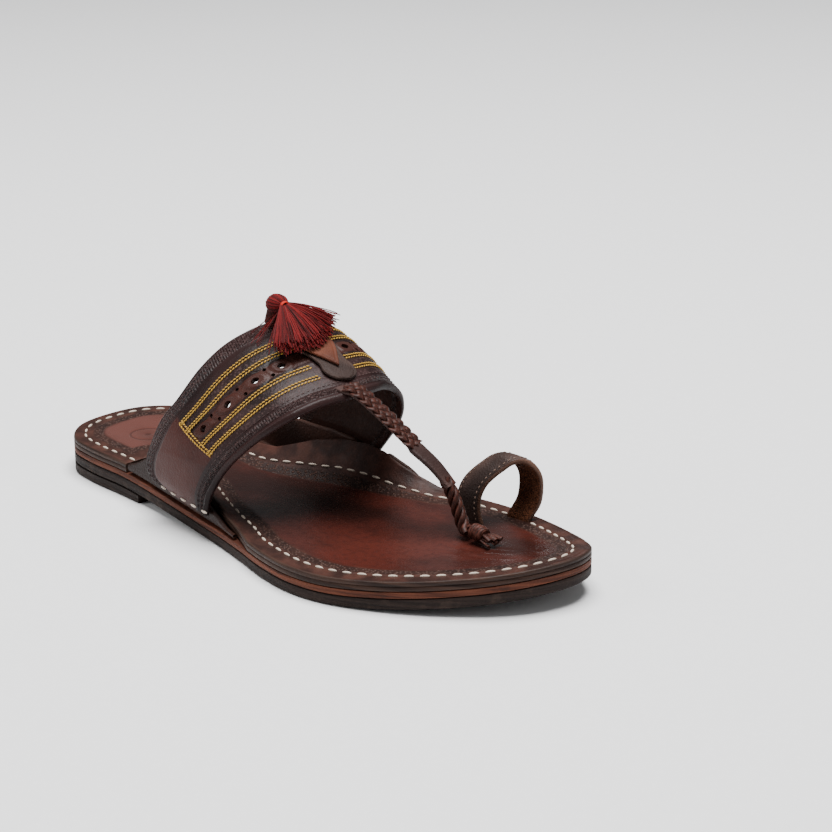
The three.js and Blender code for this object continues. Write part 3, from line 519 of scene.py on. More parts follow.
def layered(name, dark, light, worn):
    """Cut edge of pressed leather: streaks that run along the ply, scuffs and pits."""
    finish = Finish(name)
    streaks = finish.noise(60, 6, (0.5, 0.5, 14))
    scuffs = finish.step(finish.noise(160, 6), 0.55, 0.72)
    tone = finish.blend(finish.step(streaks, 0.3, 0.7), dark, light)
    tone = finish.blend(finish.times(scuffs, 0.45), tone, worn)
    pits = finish.noise(1500, 4)
    normal = finish.bump(streaks, 0.5, 0.0008)
    normal = finish.bump(pits, 0.5, 0.0004, normal)
    return finish.done(tone, finish.scaled(pits, 0.5, 0.8), normal)


tread_finish = layered("tread_leather", srgb(22, 15, 13), srgb(42, 31, 27), srgb(60, 47, 40))
rust_finish = layered("midsole_leather", srgb(50, 25, 18), srgb(102, 57, 40), srgb(38, 23, 18))
hand_over(flat_ply("outsole_ply", 0, outsole_top, 1.0, 0.5), "sole_leather", ["outsole"], tread_finish)
hand_over(flat_ply("midsole_ply", midsole_floor, midsole_top, 0.35, 0.35), "midsole_leather", ["midsole"],
          rust_finish)
hand_over(heel_block(), "sole_leather", ["heel_lift"], tread_finish)

# %% [markdown]
# ## The topsole
# The footbed is one dark ply with a burnished centre. A cut across it frees the heel patch, and at the waist
# its margins are narrower and curl up to meet the band. It is built as sections across the shoe, dense enough
# to carry the stitch channel, the embossed ring on the heel patch and the creases beside the knot.

# %% Topsole shape
cut_along = 0.214 * foot_length
margin_shares = np.linspace(1, 0, 27)
top_round = 0.9
mark_along, mark_aside, mark_radius = 34, -1.8, 7.6


def stitch_inset(x):
    """How far in from the edge the stitches run: closer at the heel."""
    return np.where(x < cut_along, 5.2, 7.0)


def topsole_lines(x, sides, shares, middle_count):
    """Y and lift of every column across the topsole at each X."""
    edges = {"lateral": sides[2](x), "medial": sides[3](x)}
    middle = (edges["lateral"] + edges["medial"]) / 2
    found = {}
    for side, sign in sign_of.items():
        edge = edges[side] - sign * waist(side, 1, x)
        margin = np.minimum(margin_width, 0.7 * np.abs(edge - middle))
        y = edge[:, None] - sign * margin[:, None] * (1 - shares)
        found[side] = (y, waist(side, 2, x)[:, None] * shares**2)
    inner = np.linspace(0, 1, middle_count + 2)[1:-1]
    low, high = found["lateral"][0][:, -1:], found["medial"][0][:, -1:]
    y = np.concatenate([found["lateral"][0], low + (high - low) * inner, found["medial"][0][:, ::-1]], 1)
    flat = np.zeros((len(x), middle_count))
    lift = np.concatenate([found["lateral"][1], flat, found["medial"][1][:, ::-1]], 1)
    return y, lift


def topsole_outline():
    x = stations(900, plan_start, plan_end, (cut_along - 0.1, cut_along + 0.1))
    lateral = np.stack([x, lateral_edge(x) + waist("lateral", 1, x)], 1)
    medial = np.stack([x, medial_edge(x) - waist("medial", 1, x)], 1)
    return np.concatenate([lateral, medial])


def edge_distance(x, y):
    outline = topsole_outline()
    flat = np.stack([x.ravel(), y.ravel()], 1)
    found = [((chunk[:, None] - outline[None]) ** 2).sum(2).min(1) for chunk in np.array_split(flat, 60)]
    return np.sqrt(np.concatenate(found)).reshape(x.shape)


def crease(x, y, start, end, depth, width):
    """A pressed line between two points of the footbed, fading out at its ends."""
    start, end = np.array(start, float), np.array(end, float)
    run = end - start
    share = ((x - start[0]) * run[0] + (y - start[1]) * run[1]) / (run @ run)
    held = np.clip(share, 0, 1)
    reach = np.hypot(x - start[0] - run[0] * held, y - start[1] - run[1] * held)
    return -depth * hill(reach, width) * np.clip(4 * share, 0, 1) * np.clip(4 * (1 - share), 0, 1)


toe_creases = [
    ((212, 4), (246, 14), 0.55, 1.1), ((216, -2), (250, 8), 0.4, 1.3), ((226, 12), (252, 20), 0.35, 1.0),
    ((200, 34), (222, 24), 0.3, 1.4), ((176, -30), (186, 6), 0.25, 2.2),
]


def topsole_relief(x, y, edge):
    relief = -0.35 * hill(edge - stitch_inset(x), 0.7)
    relief -= 0.12 * hill(edge - 2.2, 0.6)
    relief -= 0.5 * hill(x - cut_along, 0.5)
    round_mark = np.hypot(x - mark_along, y - mark_aside)
    relief -= 0.35 * hill(round_mark - mark_radius, 0.6) + 0.4 * hill(round_mark, 1.5)
    relief -= 0.5 * hill(np.hypot((x - 30) / 26, (y - 0.5) / 18), 0.7)
    relief -= 0.6 * hill(np.hypot((x - 196) / 36, (y + 2) / 30), 0.8)
    for start, end, depth, width in toe_creases:
        relief += crease(x, y, start, end, depth, width)
    return relief


def topsole_ply():
    profile = edge_profile(topsole_floor, topsole_top, 0.4, top_round, 0.3)
    near_cut = cut_along + np.array([-1.2, -0.8, -0.4, -0.1, 0.1, 0.4, 0.8, 1.2])
    cuts = (near_cut - plan_start) / (plan_end - plan_start)
    share = stations(400, 0, 1, cuts)
    parts = {"low": [], "lateral": [], "medial": [], "top": []}
    edge_mark = {}
    for level, (inset, height) in enumerate(profile):
        sides = sole_sides(inset)
        x = sides[0] + (sides[1] - sides[0]) * share
        if level == 0:
            y, lift = topsole_lines(x, sides, np.linspace(1, 0, 7), 2)
            parts["low"] = np.stack([x[:, None] + 0 * y, y, camber(x)[:, None] + height + lift], 2)
        elif level == len(profile) - 1:
            y, lift = topsole_lines(x, sides, margin_shares, 44)
            wide = x[:, None] + 0 * y
            edge = edge_distance(wide, y)
            top = camber(x)[:, None] + height + lift + topsole_relief(wide, y, edge)
            parts["top"] = np.stack([wide, y, top], 2)
        else:
            y, lift = topsole_lines(x, sides, np.array([1.0, 0.0]), 0)
            ends = np.stack([x[:, None] + 0 * y, y, camber(x)[:, None] + height + lift], 2)
            parts["lateral"].append(ends[:, 0])
            parts["medial"].append(ends[:, -1])
    medial = np.stack(parts["medial"], 1)
    lateral = np.stack(parts["lateral"][::-1], 1)
    loops = np.concatenate([parts["low"], medial, parts["top"][:, ::-1], lateral], 1)
    edge = edge_distance(loops[:, :, 0], loops[:, :, 1])
    skip = parts["low"].shape[1] + medial.shape[1]
    face = np.zeros(loops.shape[:2])
    face[:, skip:skip + parts["top"].shape[1]] = 1
    marks = {"edge": edge, "along": loops[:, :, 0], "aside": loops[:, :, 1], "face": face}
    return loft("topsole_ply", loops, marks, caps=(False, False), sharp=60)


# %% [markdown]
# ## Finish of the footbed
# Rubbing has polished the middle red-brown, the margin stays dull, and a stippled band runs inside the
# stitches. These zones could be painted by hand on an image, but the distance from the edge, stored on every
# point, gives the same zones with a wandering border and no image at all.

# %% Topsole finish
def burnished():
    """Smooth dark margin, stippled band inside the stitches, glossy red-brown centre, pale heel patch."""
    finish = Finish("topsole_leather")
    edge = finish.mark("edge")
    along = finish.mark("along")
    face = finish.mark("face")
    wander = finish.times(finish.math("SUBTRACT", finish.noise(70, 4), 0.5), 3.5)
    loose = finish.plus(edge, wander)
    cloud = finish.noise(22, 5, (1, 1.6, 1))
    fine = finish.noise(420, 5)
    centre = finish.blend(finish.step(cloud, 0.36, 0.68), srgb(36, 17, 14), srgb(66, 29, 23))
    centre = finish.blend(finish.times(finish.step(fine, 0.4, 0.75), 0.4), centre, srgb(32, 14, 11))
    heel = finish.blend(finish.step(cloud, 0.35, 0.65), srgb(58, 32, 27), srgb(80, 46, 40))
    is_heel = finish.step(along, cut_along + 0.2, cut_along - 0.2)
    centre = finish.blend(is_heel, centre, heel)
    ahead = finish.math("SUBTRACT", along, mark_along)
    beside = finish.math("SUBTRACT", finish.mark("aside"), mark_aside)
    reach = finish.math("SQRT", finish.plus(finish.times(ahead, ahead), finish.times(beside, beside)))
    pressed = finish.between(reach, mark_radius - 0.4, mark_radius + 0.5, 0.3)
    pressed = finish.plus(pressed, finish.step(reach, 1.9, 0.8))
    centre = finish.blend(finish.times(pressed, 0.55), centre, srgb(40, 22, 19))
    rim = finish.blend(finish.step(finish.noise(120, 5), 0.35, 0.7), srgb(38, 21, 17), srgb(64, 38, 31))
    inside = finish.step(loose, 12.0, 15.0)
    tone = finish.blend(inside, rim, centre)
    stipple = finish.between(edge, 8.6, 13.2, 0.6)
    dots = finish.step(finish.cells(720), 0.55, 0.12)
    tone = finish.blend(finish.times(stipple, 0.6), tone, srgb(24, 14, 12))
    tone = finish.blend(finish.times(finish.times(dots, stipple), 0.7), tone, srgb(82, 58, 50))
    streaks = finish.step(finish.noise(60, 6, (0.5, 0.5, 14)), 0.3, 0.7)
    raw = finish.blend(streaks, srgb(30, 20, 17), srgb(60, 42, 34))
    tone = finish.blend(face, raw, tone)
    rough = finish.scaled(inside, 0.5, 0.27)
    rough = finish.plus(rough, finish.times(finish.math("SUBTRACT", fine, 0.5), 0.3))
    normal = finish.bump(finish.cells(1300), 0.22, 0.0003)
    normal = finish.bump(dots, finish.times(stipple, 0.7), 0.0006, normal)
    normal = finish.bump(finish.noise(130, 4), 0.25, 0.001, normal)
    return finish.done(tone, rough, normal, Coat_Weight=finish.times(inside, 0.12), Coat_Roughness=0.3)


hand_over(topsole_ply(), "topsole_leather", ["topsole"], burnished())

# %% [markdown]
# ## Ears
# Two flaps of upper leather come out of the sole at the waist, bend up at its edge and cover the feet of the
# band. Each is a strip whose section lies flat, turns up in a small bend and ends in a rounded rim.

# %% Ear flaps
def ear_flap(side):
    rows = ear_rows[side]
    sign = sign_of[side]
    x = np.linspace(rows[0, 0], rows[-1, 0], 130) * foot_length
    spread = np.linspace(-2.5, 2.5, 11)
    samples = [np.interp((x + s) / foot_length, rows[:, 0], rows[:, 1]) for s in spread]
    rise = np.maximum(ear_height * np.average(samples, axis=0, weights=hill(spread, 1.8)), ear_thick + 0.3)
    rise = ear_thick + 0.3 + (rise - ear_thick - 0.3) * ease((x[-1] - x) / 20)
    root = np.maximum(waist(side, 1, x) - 2 * glue_line, 1.4)
    wall = np.minimum(ear_thick, root)
    bend = np.minimum(3.0, root)
    base = camber(x) + topsole_floor
    turn = np.linspace(math.pi, math.pi / 2 * 3, 9)[::-1]
    outer = [(root, 0 * x)]
    outer += [(bend + bend * math.cos(a), bend + bend * math.sin(a)) for a in turn]
    small = np.maximum(bend - wall, 0.05)
    inner = [(bend + small * math.cos(a), bend + small * math.sin(a)) for a in turn[::-1]]
    inner += [(root, wall)]
    half = wall / 2
    rim = [(half - half * math.cos(a), rise - half + half * math.sin(a)) for a in np.linspace(0, math.pi, 9)]
    lower = [(0 * x, bend + (rise - half - bend) * s) for s in (0.35, 0.7)]
    back = [(wall, bend + (rise - half - bend) * s) for s in (0.7, 0.35)]
    places = []
    for inset, height in outer + lower + rim + back + inner:
        height = np.minimum(height, rise)
        places.append(np.stack([x, edge_of[side](x) - sign * inset, base + height], 1))
    return loft(f"ear_flap_{side}", np.stack(places, 1), sharp=60)


for side in ("lateral", "medial"):
    hand_over(ear_flap(side), "ear_leather", [f"ear_{side}"], ear_finish)

# %% [markdown]
# ## The instep band
# The band is a single curved wall of leather. Its rear edge line and its front edge line are two smooth
# curves, and any place on it is named by how far across the foot it is and how far down from rear to front.
# With those two numbers the tooling, the stripes, the holes and the patches all land where they should.

# %% Band surface
deck_start, deck_end, deck_slant = 0.274, 0.8, 0.088


def band_edge(column):
    rows = band_rows[:, column:column + 3]
    x = rows[:, 0] * foot_length
    side = np.where(rows[:, 1] < 0, np.abs(lateral_edge(x)), np.abs(medial_edge(x)))
    y = rows[:, 1] * (side + glue_line + band_wall)
    return smooth_run(np.stack([x, y, topsole_top + rows[:, 2] * instep_rise], 1))


band_rear, band_front = band_edge(0), band_edge(3)


def band_place(across, down, offset=0.0):
    """Points and normals over the band, offset millimetres outside its outer face."""
    lined_up = np.broadcast_arrays(*map(np.atleast_1d, (across, down, offset)))
    across, down, offset = (v.ravel() for v in lined_up)
    d = down[:, None]
    rear, front = band_rear(across), band_front(across)
    low, high = np.clip(across - 0.004, 0, 1), np.clip(across + 0.004, 0, 1)
    arch = (band_rear(high) - band_rear(low)) * (1 - d) + (band_front(high) - band_front(low)) * d
    normal = unit(np.cross(front - rear, arch))
    ends = np.minimum(1, np.minimum(6 * across, 6 * (1 - across)))
    bulge = band_bulge * 4 * down * (1 - down) * ends
    return rear * (1 - d) + front * d + normal * (bulge + offset)[:, None], normal


hole_runs = [(0.258, 0.438), (0.615, 0.795)]
hole_down = 0.51
hole_across = np.concatenate([np.linspace(low, high, 4) for low, high in hole_runs])
pin_across = np.concatenate([np.linspace(low, high, 4)[:-1] + (high - low) / 6 for low, high in hole_runs])
tooled_lines = [(0.022, 0.3, 0.5), (0.14, 0.45, 0.7), (0.165, 0.3, 0.5), (0.865, 0.3, 0.5), (0.93, 0.5, 0.6)]


def band_relief(across, down, width):
    """Tooling on the outer face in millimetres: pressed lines, soft stripe channels, raised eyelets."""
    relief = np.zeros(across.shape)
    closing = across + deck_slant * down
    decked = ease((closing - deck_start) / 0.01) * ease((deck_end - closing) / 0.01)
    for place, depth, soft in tooled_lines:
        relief -= depth * hill((down - place) * width, soft)
    for stripe in (0.27, 0.39, 0.63, 0.75):
        relief -= 0.15 * hill((down - stripe) * width, 1.6) * decked
    for place in (0.45, 0.575):
        relief -= 0.25 * hill((down - place) * width, 0.5) * decked
    relief += 0.35 * hill((down - 0.968) * width, 1.0)
    for place in hole_across:
        reach = np.hypot((across - place) * 200, (down - hole_down) * width)
        relief += 0.22 * hill(reach - 3.3, 0.8)
        relief -= 0.35 * hill(reach - 5.0, 0.7)
    for place in pin_across:
        for shift in (-0.045, 0.045):
            reach = np.hypot((across - place) * 200, (down - hole_down - shift) * width)
            relief -= 0.3 * hill(reach, 1.3)
    return relief


def band_blank():
    across = np.linspace(0, 1, 400)
    width = np.linalg.norm(band_front(across) - band_rear(across), axis=1)[:, None]
    round_off = band_wall / 2
    turn = np.linspace(-math.pi / 2, math.pi / 2, 9)
    rear = np.stack([round_off * (1 - np.cos(turn)), round_off * (np.sin(turn) - 1)], 1)
    run = np.linspace(0, 1, 88)[1:-1]
    back = np.linspace(1, 0, 30)[1:-1]
    along = np.concatenate([
        rear[:, 0] + 0 * width,
        round_off + (width - 2 * round_off) * run,
        width - rear[::-1, 0],
        round_off + (width - 2 * round_off) * back,
    ], 1)
    depth = np.concatenate([rear[:, 1], 0 * run, rear[::-1, 1], 0 * back - band_wall])[None] + 0 * width
    down = along / width
    spread = across[:, None] + 0 * down
    outer = depth > -0.01
    depth = depth + np.where(outer, band_relief(spread, down, width + 0 * down), 0)
    points, _ = band_place(spread, down, depth)
    marks = {"across": spread, "down": down, "lining": depth < -band_wall + 0.4}
    return loft("instep_band", points.reshape(*down.shape, 3), marks, sharp=50)


def hole_cutter(across, down, length, width, power):
    """A prism square to the band, with a softly pointed oval outline."""
    centre, normal = band_place(across, down)
    ahead, _ = band_place(across + 0.01, down)
    stripe = unit(ahead - centre)[0]
    beside = np.cross(normal[0], stripe)
    turn = np.linspace(0, 2 * math.pi, 28, endpoint=False)
    flat = [np.sign(v) * np.abs(v) ** power for v in (np.cos(turn), np.sin(turn))]
    ring = centre + stripe * (length / 2 * flat[0])[:, None] + beside * (width / 2 * flat[1])[:, None]
    return np.stack([ring - normal * 2 * band_wall, ring + normal * band_wall])


def punched(band):
    """Cuts the holes, and copies the band's marks back on to the new rims."""
    rings = [hole_cutter(a, hole_down, 3.9, 3.1, 1.3) for a in hole_across]
    rings += [hole_cutter(a, hole_down + s, 1.7, 1.7, 1) for a in pin_across for s in (-0.045, 0.045)]
    cutters = [loft(f"cutter_{i}", ring) for i, ring in enumerate(rings)]
    joined = bmesh.new()
    for cutter in cutters:
        joined.from_mesh(cutter.data)
        bpy.data.objects.remove(cutter)
    tool = bpy.data.objects.new("hole_tool", bpy.data.meshes.new("hole_tool"))
    joined.to_mesh(tool.data)
    joined.free()
    bpy.context.scene.collection.objects.link(tool)
    tree = kdtree.KDTree(len(band.data.vertices))
    for vertex in band.data.vertices:
        tree.insert(vertex.co, vertex.index)
    tree.balance()
    marks = {}
    for name in ("across", "down", "lining"):
        marks[name] = np.zeros(len(band.data.vertices), np.float32)
        band.data.attributes[name].data.foreach_get("value", marks[name])
    cut = band.modifiers.new("holes", "BOOLEAN")
    cut.operation, cut.solver, cut.object = "DIFFERENCE", "EXACT", tool
    bpy.context.view_layer.update()
    result = band.evaluated_get(bpy.context.evaluated_depsgraph_get())
    mesh = bpy.data.meshes.new_from_object(result)
    band.modifiers.remove(cut)
    nearest = [tree.find(vertex.co)[1] for vertex in mesh.vertices]
    for name, values in marks.items():
        if name in mesh.attributes:
            mesh.attributes.remove(mesh.attributes[name])
        layer = mesh.attributes.new(name, "FLOAT", "POINT")
        layer.data.foreach_set("value", values[nearest])
    mesh.set_sharp_from_angle(angle=math.radians(50))
    band.data = mesh
    bpy.data.objects.remove(tool)
    return band


# %% [markdown]
# ## Finish of the band
# The borders are stippled, the punched strip is browner than the rest, and the lining is rough and dark. All
# of that follows the band and not space, so this finish reads how far across and how far down each point
# lies, as a maker would measure it on the flat piece.

# %% Band finish
def tooled():
    """Dark upper leather: stippled borders, a browner punched strip and a rough dark lining."""
    finish = Finish("band_leather")
    down = finish.mark("down")
    across = finish.mark("across")
    patches = finish.step(finish.noise(38, 5), 0.35, 0.68)
    tone = finish.blend(patches, srgb(21, 11, 11), srgb(42, 25, 24))
    closing = finish.plus(across, finish.times(down, deck_slant))
    decked = finish.between(closing, deck_start, deck_end, 0.003)
    strip = finish.times(finish.between(down, 0.45, 0.575, 0.006), decked)
    tone = finish.blend(finish.times(strip, 0.8), tone, srgb(56, 29, 23))
    middle = finish.between(down, 0.17, 0.8, 0.01)
    plain = finish.times(finish.math("SUBTRACT", 1.0, decked), middle)
    foot_tone = finish.blend(patches, srgb(40, 15, 11), srgb(64, 29, 23))
    tone = finish.blend(finish.times(plain, 0.8), tone, foot_tone)
    borders = finish.plus(finish.between(down, 0.025, 0.135, 0.006), finish.between(down, 0.87, 0.925, 0.006))
    between = finish.plus(finish.between(down, 0.3, 0.36, 0.005), finish.between(down, 0.66, 0.72, 0.005))
    between = finish.plus(between, finish.between(down, 0.785, 0.84, 0.005))
    dots = finish.step(finish.cells(760), 0.55, 0.1)
    ribs = finish.times(finish.plus(across, finish.times(down, 0.12)), 1150.0)
    ribs = finish.math("SINE", ribs)
    worked = finish.times(finish.times(between, 0.7), decked)
    worked = finish.times(dots, finish.plus(borders, worked))
    tone = finish.blend(finish.times(worked, 0.55), tone, srgb(84, 64, 62))
    raw = finish.blend(finish.noise(500, 4), srgb(26, 13, 10), srgb(50, 29, 23))
    tone = finish.blend(finish.mark("lining"), tone, raw)
    rough = finish.scaled(finish.noise(260, 3), 0.36, 0.5)
    rough = finish.plus(rough, finish.times(worked, 0.15))
    normal = finish.bump(finish.cells(1200), 0.35, 0.00022)
    normal = finish.bump(dots, finish.times(borders, 0.8), 0.0005, normal)
    normal = finish.bump(ribs, finish.times(borders, 0.6), 0.0004, normal)
    normal = finish.bump(finish.noise(90, 3), 0.2, 0.0015, normal)
    return finish.done(tone, rough, normal)


hand_over(punched(band_blank()), "band_leather", ["upper"], tooled())

# %% [markdown]
# ## Repeated parts with Geometry Nodes
# Stitches, plaits and threads repeat one small thing along a line, which is what Geometry Nodes are for. The
# first tree lays stitches at an even pitch, the second sweeps a round or flat section along every line, and
# the third weaves several laces round one centre line. Each ends as real mesh with its material set.

# %% Node trees
def new_tree(name, inputs):
    tree = bpy.data.node_groups.new(name, "GeometryNodeTree")
    kinds = {"Geometry": "NodeSocketGeometry", "Thread": "NodeSocketMaterial"}
    for label in inputs:
        kind = "NodeSocketInt" if label in ("Sides", "Seed", "Laces") else "NodeSocketFloat"
        tree.interface.new_socket(label, in_out="INPUT", socket_type=kinds.get(label, kind))
    tree.interface.new_socket("Geometry", in_out="OUTPUT", socket_type="NodeSocketGeometry")
    start = tree.nodes.new("NodeGroupInput")
    end = tree.nodes.new("NodeGroupOutput")

    def add(kind, links=None, **settings):
        node = tree.nodes.new(kind)
        for key, value in settings.items():
            setattr(node, key, value)
        for socket, value in (links or {}).items():
            if isinstance(value, bpy.types.NodeSocket):
                tree.links.new(value, node.inputs[socket])
            else:
                node.inputs[socket].default_value = value
        return node

    return tree, start.outputs, end.inputs["Geometry"], add


def finish_tree(tree, geometry, given, out, add):
    real = add("GeometryNodeRealizeInstances", {"Geometry": geometry})
    soft = add("GeometryNodeSetShadeSmooth", {"Geometry": real.outputs[0]})
    painted = add("GeometryNodeSetMaterial", {"Geometry": soft.outputs[0], "Material": given["Thread"]})
    tree.links.new(painted.outputs[0], out)
    return tree


def stitching_tree():
    labels = ["Geometry", "Pitch", "Length", "Width", "Height", "Slant", "Thread"]
    tree, given, out, add = new_tree("stitching", labels)
    line = add("GeometryNodeMeshToCurve", {"Mesh": given["Geometry"]})
    steps = {"Curve": line.outputs[0], "Length": given["Pitch"]}
    even = add("GeometryNodeResampleCurve", steps, mode="LENGTH")
    along = add("GeometryNodeInputTangent")
    up = add("GeometryNodeInputNamedAttribute", {"Name": "up"}, data_type="FLOAT_VECTOR")
    axes = {"Primary Axis": along.outputs[0], "Secondary Axis": up.outputs[0]}
    turn = add("FunctionNodeAxesToRotation", axes, primary_axis="X", secondary_axis="Z")
    slant = add("ShaderNodeCombineXYZ", {"Z": given["Slant"]})
    lean = add("FunctionNodeEulerToRotation", {0: slant.outputs[0]})
    both = {0: turn.outputs[0], 1: lean.outputs[0]}
    turned = add("FunctionNodeRotateRotation", both, rotation_space="LOCAL")
    size = add("ShaderNodeCombineXYZ", {"X": given["Length"], "Y": given["Width"], "Z": given["Height"]})
    bead = add("GeometryNodeMeshUVSphere", {"Segments": 10, "Rings": 6, "Radius": 0.5})
    placed = add("GeometryNodeInstanceOnPoints", {
        "Points": even.outputs[0], "Instance": bead.outputs[0],
        "Rotation": turned.outputs[0], "Scale": size.outputs[0],
    })
    return finish_tree(tree, placed.outputs[0], given, out, add)


def sweep(curve, given, add):
    """Nodes that give every line a flat or round section, and each its own tone."""
    up = add("GeometryNodeInputNamedAttribute", {"Name": "up"}, data_type="FLOAT_VECTOR")
    facing = add("GeometryNodeSetCurveNormal", {"Curve": curve, "Normal": up.outputs[0]}, mode="FREE")
    tone = add("FunctionNodeRandomValue", {"Seed": given["Seed"]}, data_type="FLOAT")
    toned = add("GeometryNodeStoreNamedAttribute", {
        "Geometry": facing.outputs[0], "Name": "tone", "Value": tone.outputs[1],
    }, data_type="FLOAT", domain="CURVE")
    ring = add("GeometryNodeCurvePrimitiveCircle", {"Resolution": given["Sides"], "Radius": 0.5})
    flat = add("ShaderNodeCombineXYZ", {"X": given["Height"], "Y": given["Width"], "Z": 1.0})
    shaped = add("GeometryNodeTransform", {"Geometry": ring.outputs[0], "Scale": flat.outputs[0]})
    return add("GeometryNodeCurveToMesh", {
        "Curve": toned.outputs[0], "Profile Curve": shaped.outputs[0], "Fill Caps": True,
    }).outputs[0]


def thread_tree():
    tree, given, out, add = new_tree("threads", ["Geometry", "Sides", "Width", "Height", "Seed", "Thread"])
    line = add("GeometryNodeMeshToCurve", {"Mesh": given["Geometry"]})
    return finish_tree(tree, sweep(line.outputs[0], given, add), given, out, add)


def plait_tree():
    labels = [
        "Geometry", "Laces", "Turn Length", "Reach", "Weave", "Weave Count", "Flatness", "Sides", "Width",
        "Height", "Seed", "Thread",
    ]
    tree, given, out, add = new_tree("plait", labels)

    def calc(operation, first, second=0.0):
        return add("ShaderNodeMath", {0: first, 1: second}, operation=operation).outputs[0]

    line = add("GeometryNodeMeshToCurve", {"Mesh": given["Geometry"]})
    even = add("GeometryNodeResampleCurve", {"Curve": line.outputs[0], "Length": 0.0004}, mode="LENGTH")
    shared = {"Geometry": even.outputs[0], "Amount": given["Laces"]}
    copies = add("GeometryNodeDuplicateElements", shared, domain="SPLINE")
    length = add("GeometryNodeSplineParameter").outputs["Length"]
    start = calc("DIVIDE", copies.outputs[1], given["Laces"])
    phase = calc("ADD", calc("DIVIDE", length, given["Turn Length"]), start)
    angle = calc("MULTIPLY", phase, 2 * math.pi)
    wave = calc("COSINE", angle)
    zigzag = calc("MULTIPLY", calc("ARCSINE", calc("MULTIPLY", wave, 0.98)), 2 / math.pi)
    side = calc("ADD", calc("MULTIPLY", zigzag, given["Flatness"]),
                calc("MULTIPLY", wave, calc("SUBTRACT", 1.0, given["Flatness"])))
    over = calc("SINE", calc("MULTIPLY", angle, given["Weave Count"]))
    moved = []
    for label, share, reach in (("aside", side, given["Reach"]), ("up", over, given["Weave"])):
        axis = add("GeometryNodeInputNamedAttribute", {"Name": label}, data_type="FLOAT_VECTOR")
        scaled = add("ShaderNodeVectorMath", {0: axis.outputs[0]}, operation="SCALE")
        tree.links.new(calc("MULTIPLY", share, reach), scaled.inputs["Scale"])
        moved.append(scaled.outputs[0])
    both = add("ShaderNodeVectorMath", {0: moved[0], 1: moved[1]}, operation="ADD")
    woven = add("GeometryNodeSetPosition", {"Geometry": copies.outputs[0], "Offset": both.outputs[0]})
    return finish_tree(tree, sweep(woven.outputs[0], given, add), given, out, add)


trees = {"stitching": stitching_tree(), "threads": thread_tree(), "plait": plait_tree()}


def guide(name, runs, marks):
    """Lines for a tree to follow: lists of points in millimetres, each with a direction mark per point."""
    mesh = bpy.data.meshes.new(name)
    counts = [len(run) for run in runs]
    starts = np.cumsum([0] + counts[:-1])
    edges = [(int(s) + i, int(s) + i + 1) for s, n in zip(starts, counts) for i in range(n - 1)]
    mesh.from_pydata(in_frame(np.concatenate(runs)).tolist(), edges, [])
    for mark, values in marks.items():
        layer = mesh.attributes.new(mark, "FLOAT_VECTOR", "POINT")
        layer.data.foreach_set("vector", np.concatenate(values).astype(np.float32).ravel())
    piece = bpy.data.objects.new(name, mesh)
    bpy.context.scene.collection.objects.link(piece)
    return piece


def grown(name, tree, runs, marks, **values):
    """Runs a tree on guide lines and keeps the result as a plain mesh."""
    source = guide(f"{name}_guide", runs, marks)
    modifier = source.modifiers.new("nodes", "NODES")
    modifier.node_group = trees[tree]
    items = trees[tree].interface.items_tree
    sockets = {item.name: item.identifier for item in items if item.in_out == "INPUT"}
    for label, value in values.items():
        modifier[sockets[label.replace("_", " ")]] = value
    bpy.context.view_layer.update()
    result = source.evaluated_get(bpy.context.evaluated_depsgraph_get())
    mesh = bpy.data.meshes.new_from_object(result)
    mesh.name = name
    source.modifiers.remove(modifier)
    bpy.data.objects.remove(source)
    piece = bpy.data.objects.new(name, mesh)
    bpy.context.scene.collection.objects.link(piece)
    return piece


def sewn(name, rows, slot, nodes, **values):
    """Stitches along rows of points, each row with its outward directions."""
    runs, ups = zip(*rows)
    hand_over(grown(name, "stitching", runs, {"up": ups}, **values), slot, nodes)


def spun(name, lines, slot, node, sides, width, height, seed, finish):
    """Round or flat threads along lines of points, each line with its outward directions."""
    runs, ups = lines
    values = {"Sides": sides, "Width": width, "Height": height, "Seed": seed, "Thread": finish}
    hand_over(grown(name, "threads", runs, {"up": ups}, **values), slot, [node])


def straight(start, run, up, count):
    """One straight line with a steady outward direction."""
    share = np.linspace(0, 1, count)[:, None]
    return [start + run * share], [np.tile(up, (count, 1))]


print("trees:", ", ".join(trees))

# %% [markdown]
# ## Stitching on the sole
# A cream thread runs round the footbed, about seven millimetres in from the edge and closer at the heel. The
# same saddle stitch holds the feet of the band. The stitches lie in the channel pressed for them.

# %% Sole stitches
top_edge = dict(zip(("lateral", "medial"), sole_sides(top_round)[2:]))


def topsole_height(x, y):
    middle = (top_edge["lateral"](x) + top_edge["medial"](x)) / 2
    height = camber(x) + topsole_top
    for side, sign in sign_of.items():
        edge = top_edge[side](x) - sign * waist(side, 1, x)
        margin = np.minimum(margin_width, 0.7 * np.abs(edge - middle))
        share = np.clip(1 - sign * (edge - y) / np.maximum(margin, 0.1), 0, 1)
        height = height + waist(side, 2, x) * share**2
    return height


def stitch_line(keep):
    """The outline set in to the stitch channel, where keep says so, with the leather's upward direction."""
    turns = np.arange(1600) / 1600
    plain = sole_ring(0, turns)
    ring = sole_ring(stitch_inset(plain[:, 0]), turns)
    lateral = turns < 0.5
    shift = np.where(lateral, waist("lateral", 1, plain[:, 0]), -waist("medial", 1, plain[:, 0]))
    x, y = ring[:, 0], ring[:, 1] + shift
    chosen = keep(x)
    order = np.arange(len(x))
    if chosen[0]:
        order = np.roll(order, len(x) // 2)
    order = order[chosen[order]]
    x, y = x[order], y[order]
    step = 0.4
    tilt = (topsole_height(x, y + step) - topsole_height(x, y - step)) / (2 * step)
    slope = (topsole_height(x + step, y) - topsole_height(x - step, y)) / (2 * step)
    up = unit(np.stack([-slope, -tilt, np.ones(len(x))], 1))
    return np.stack([x, y, topsole_height(x, y)], 1) - up * 0.1, up


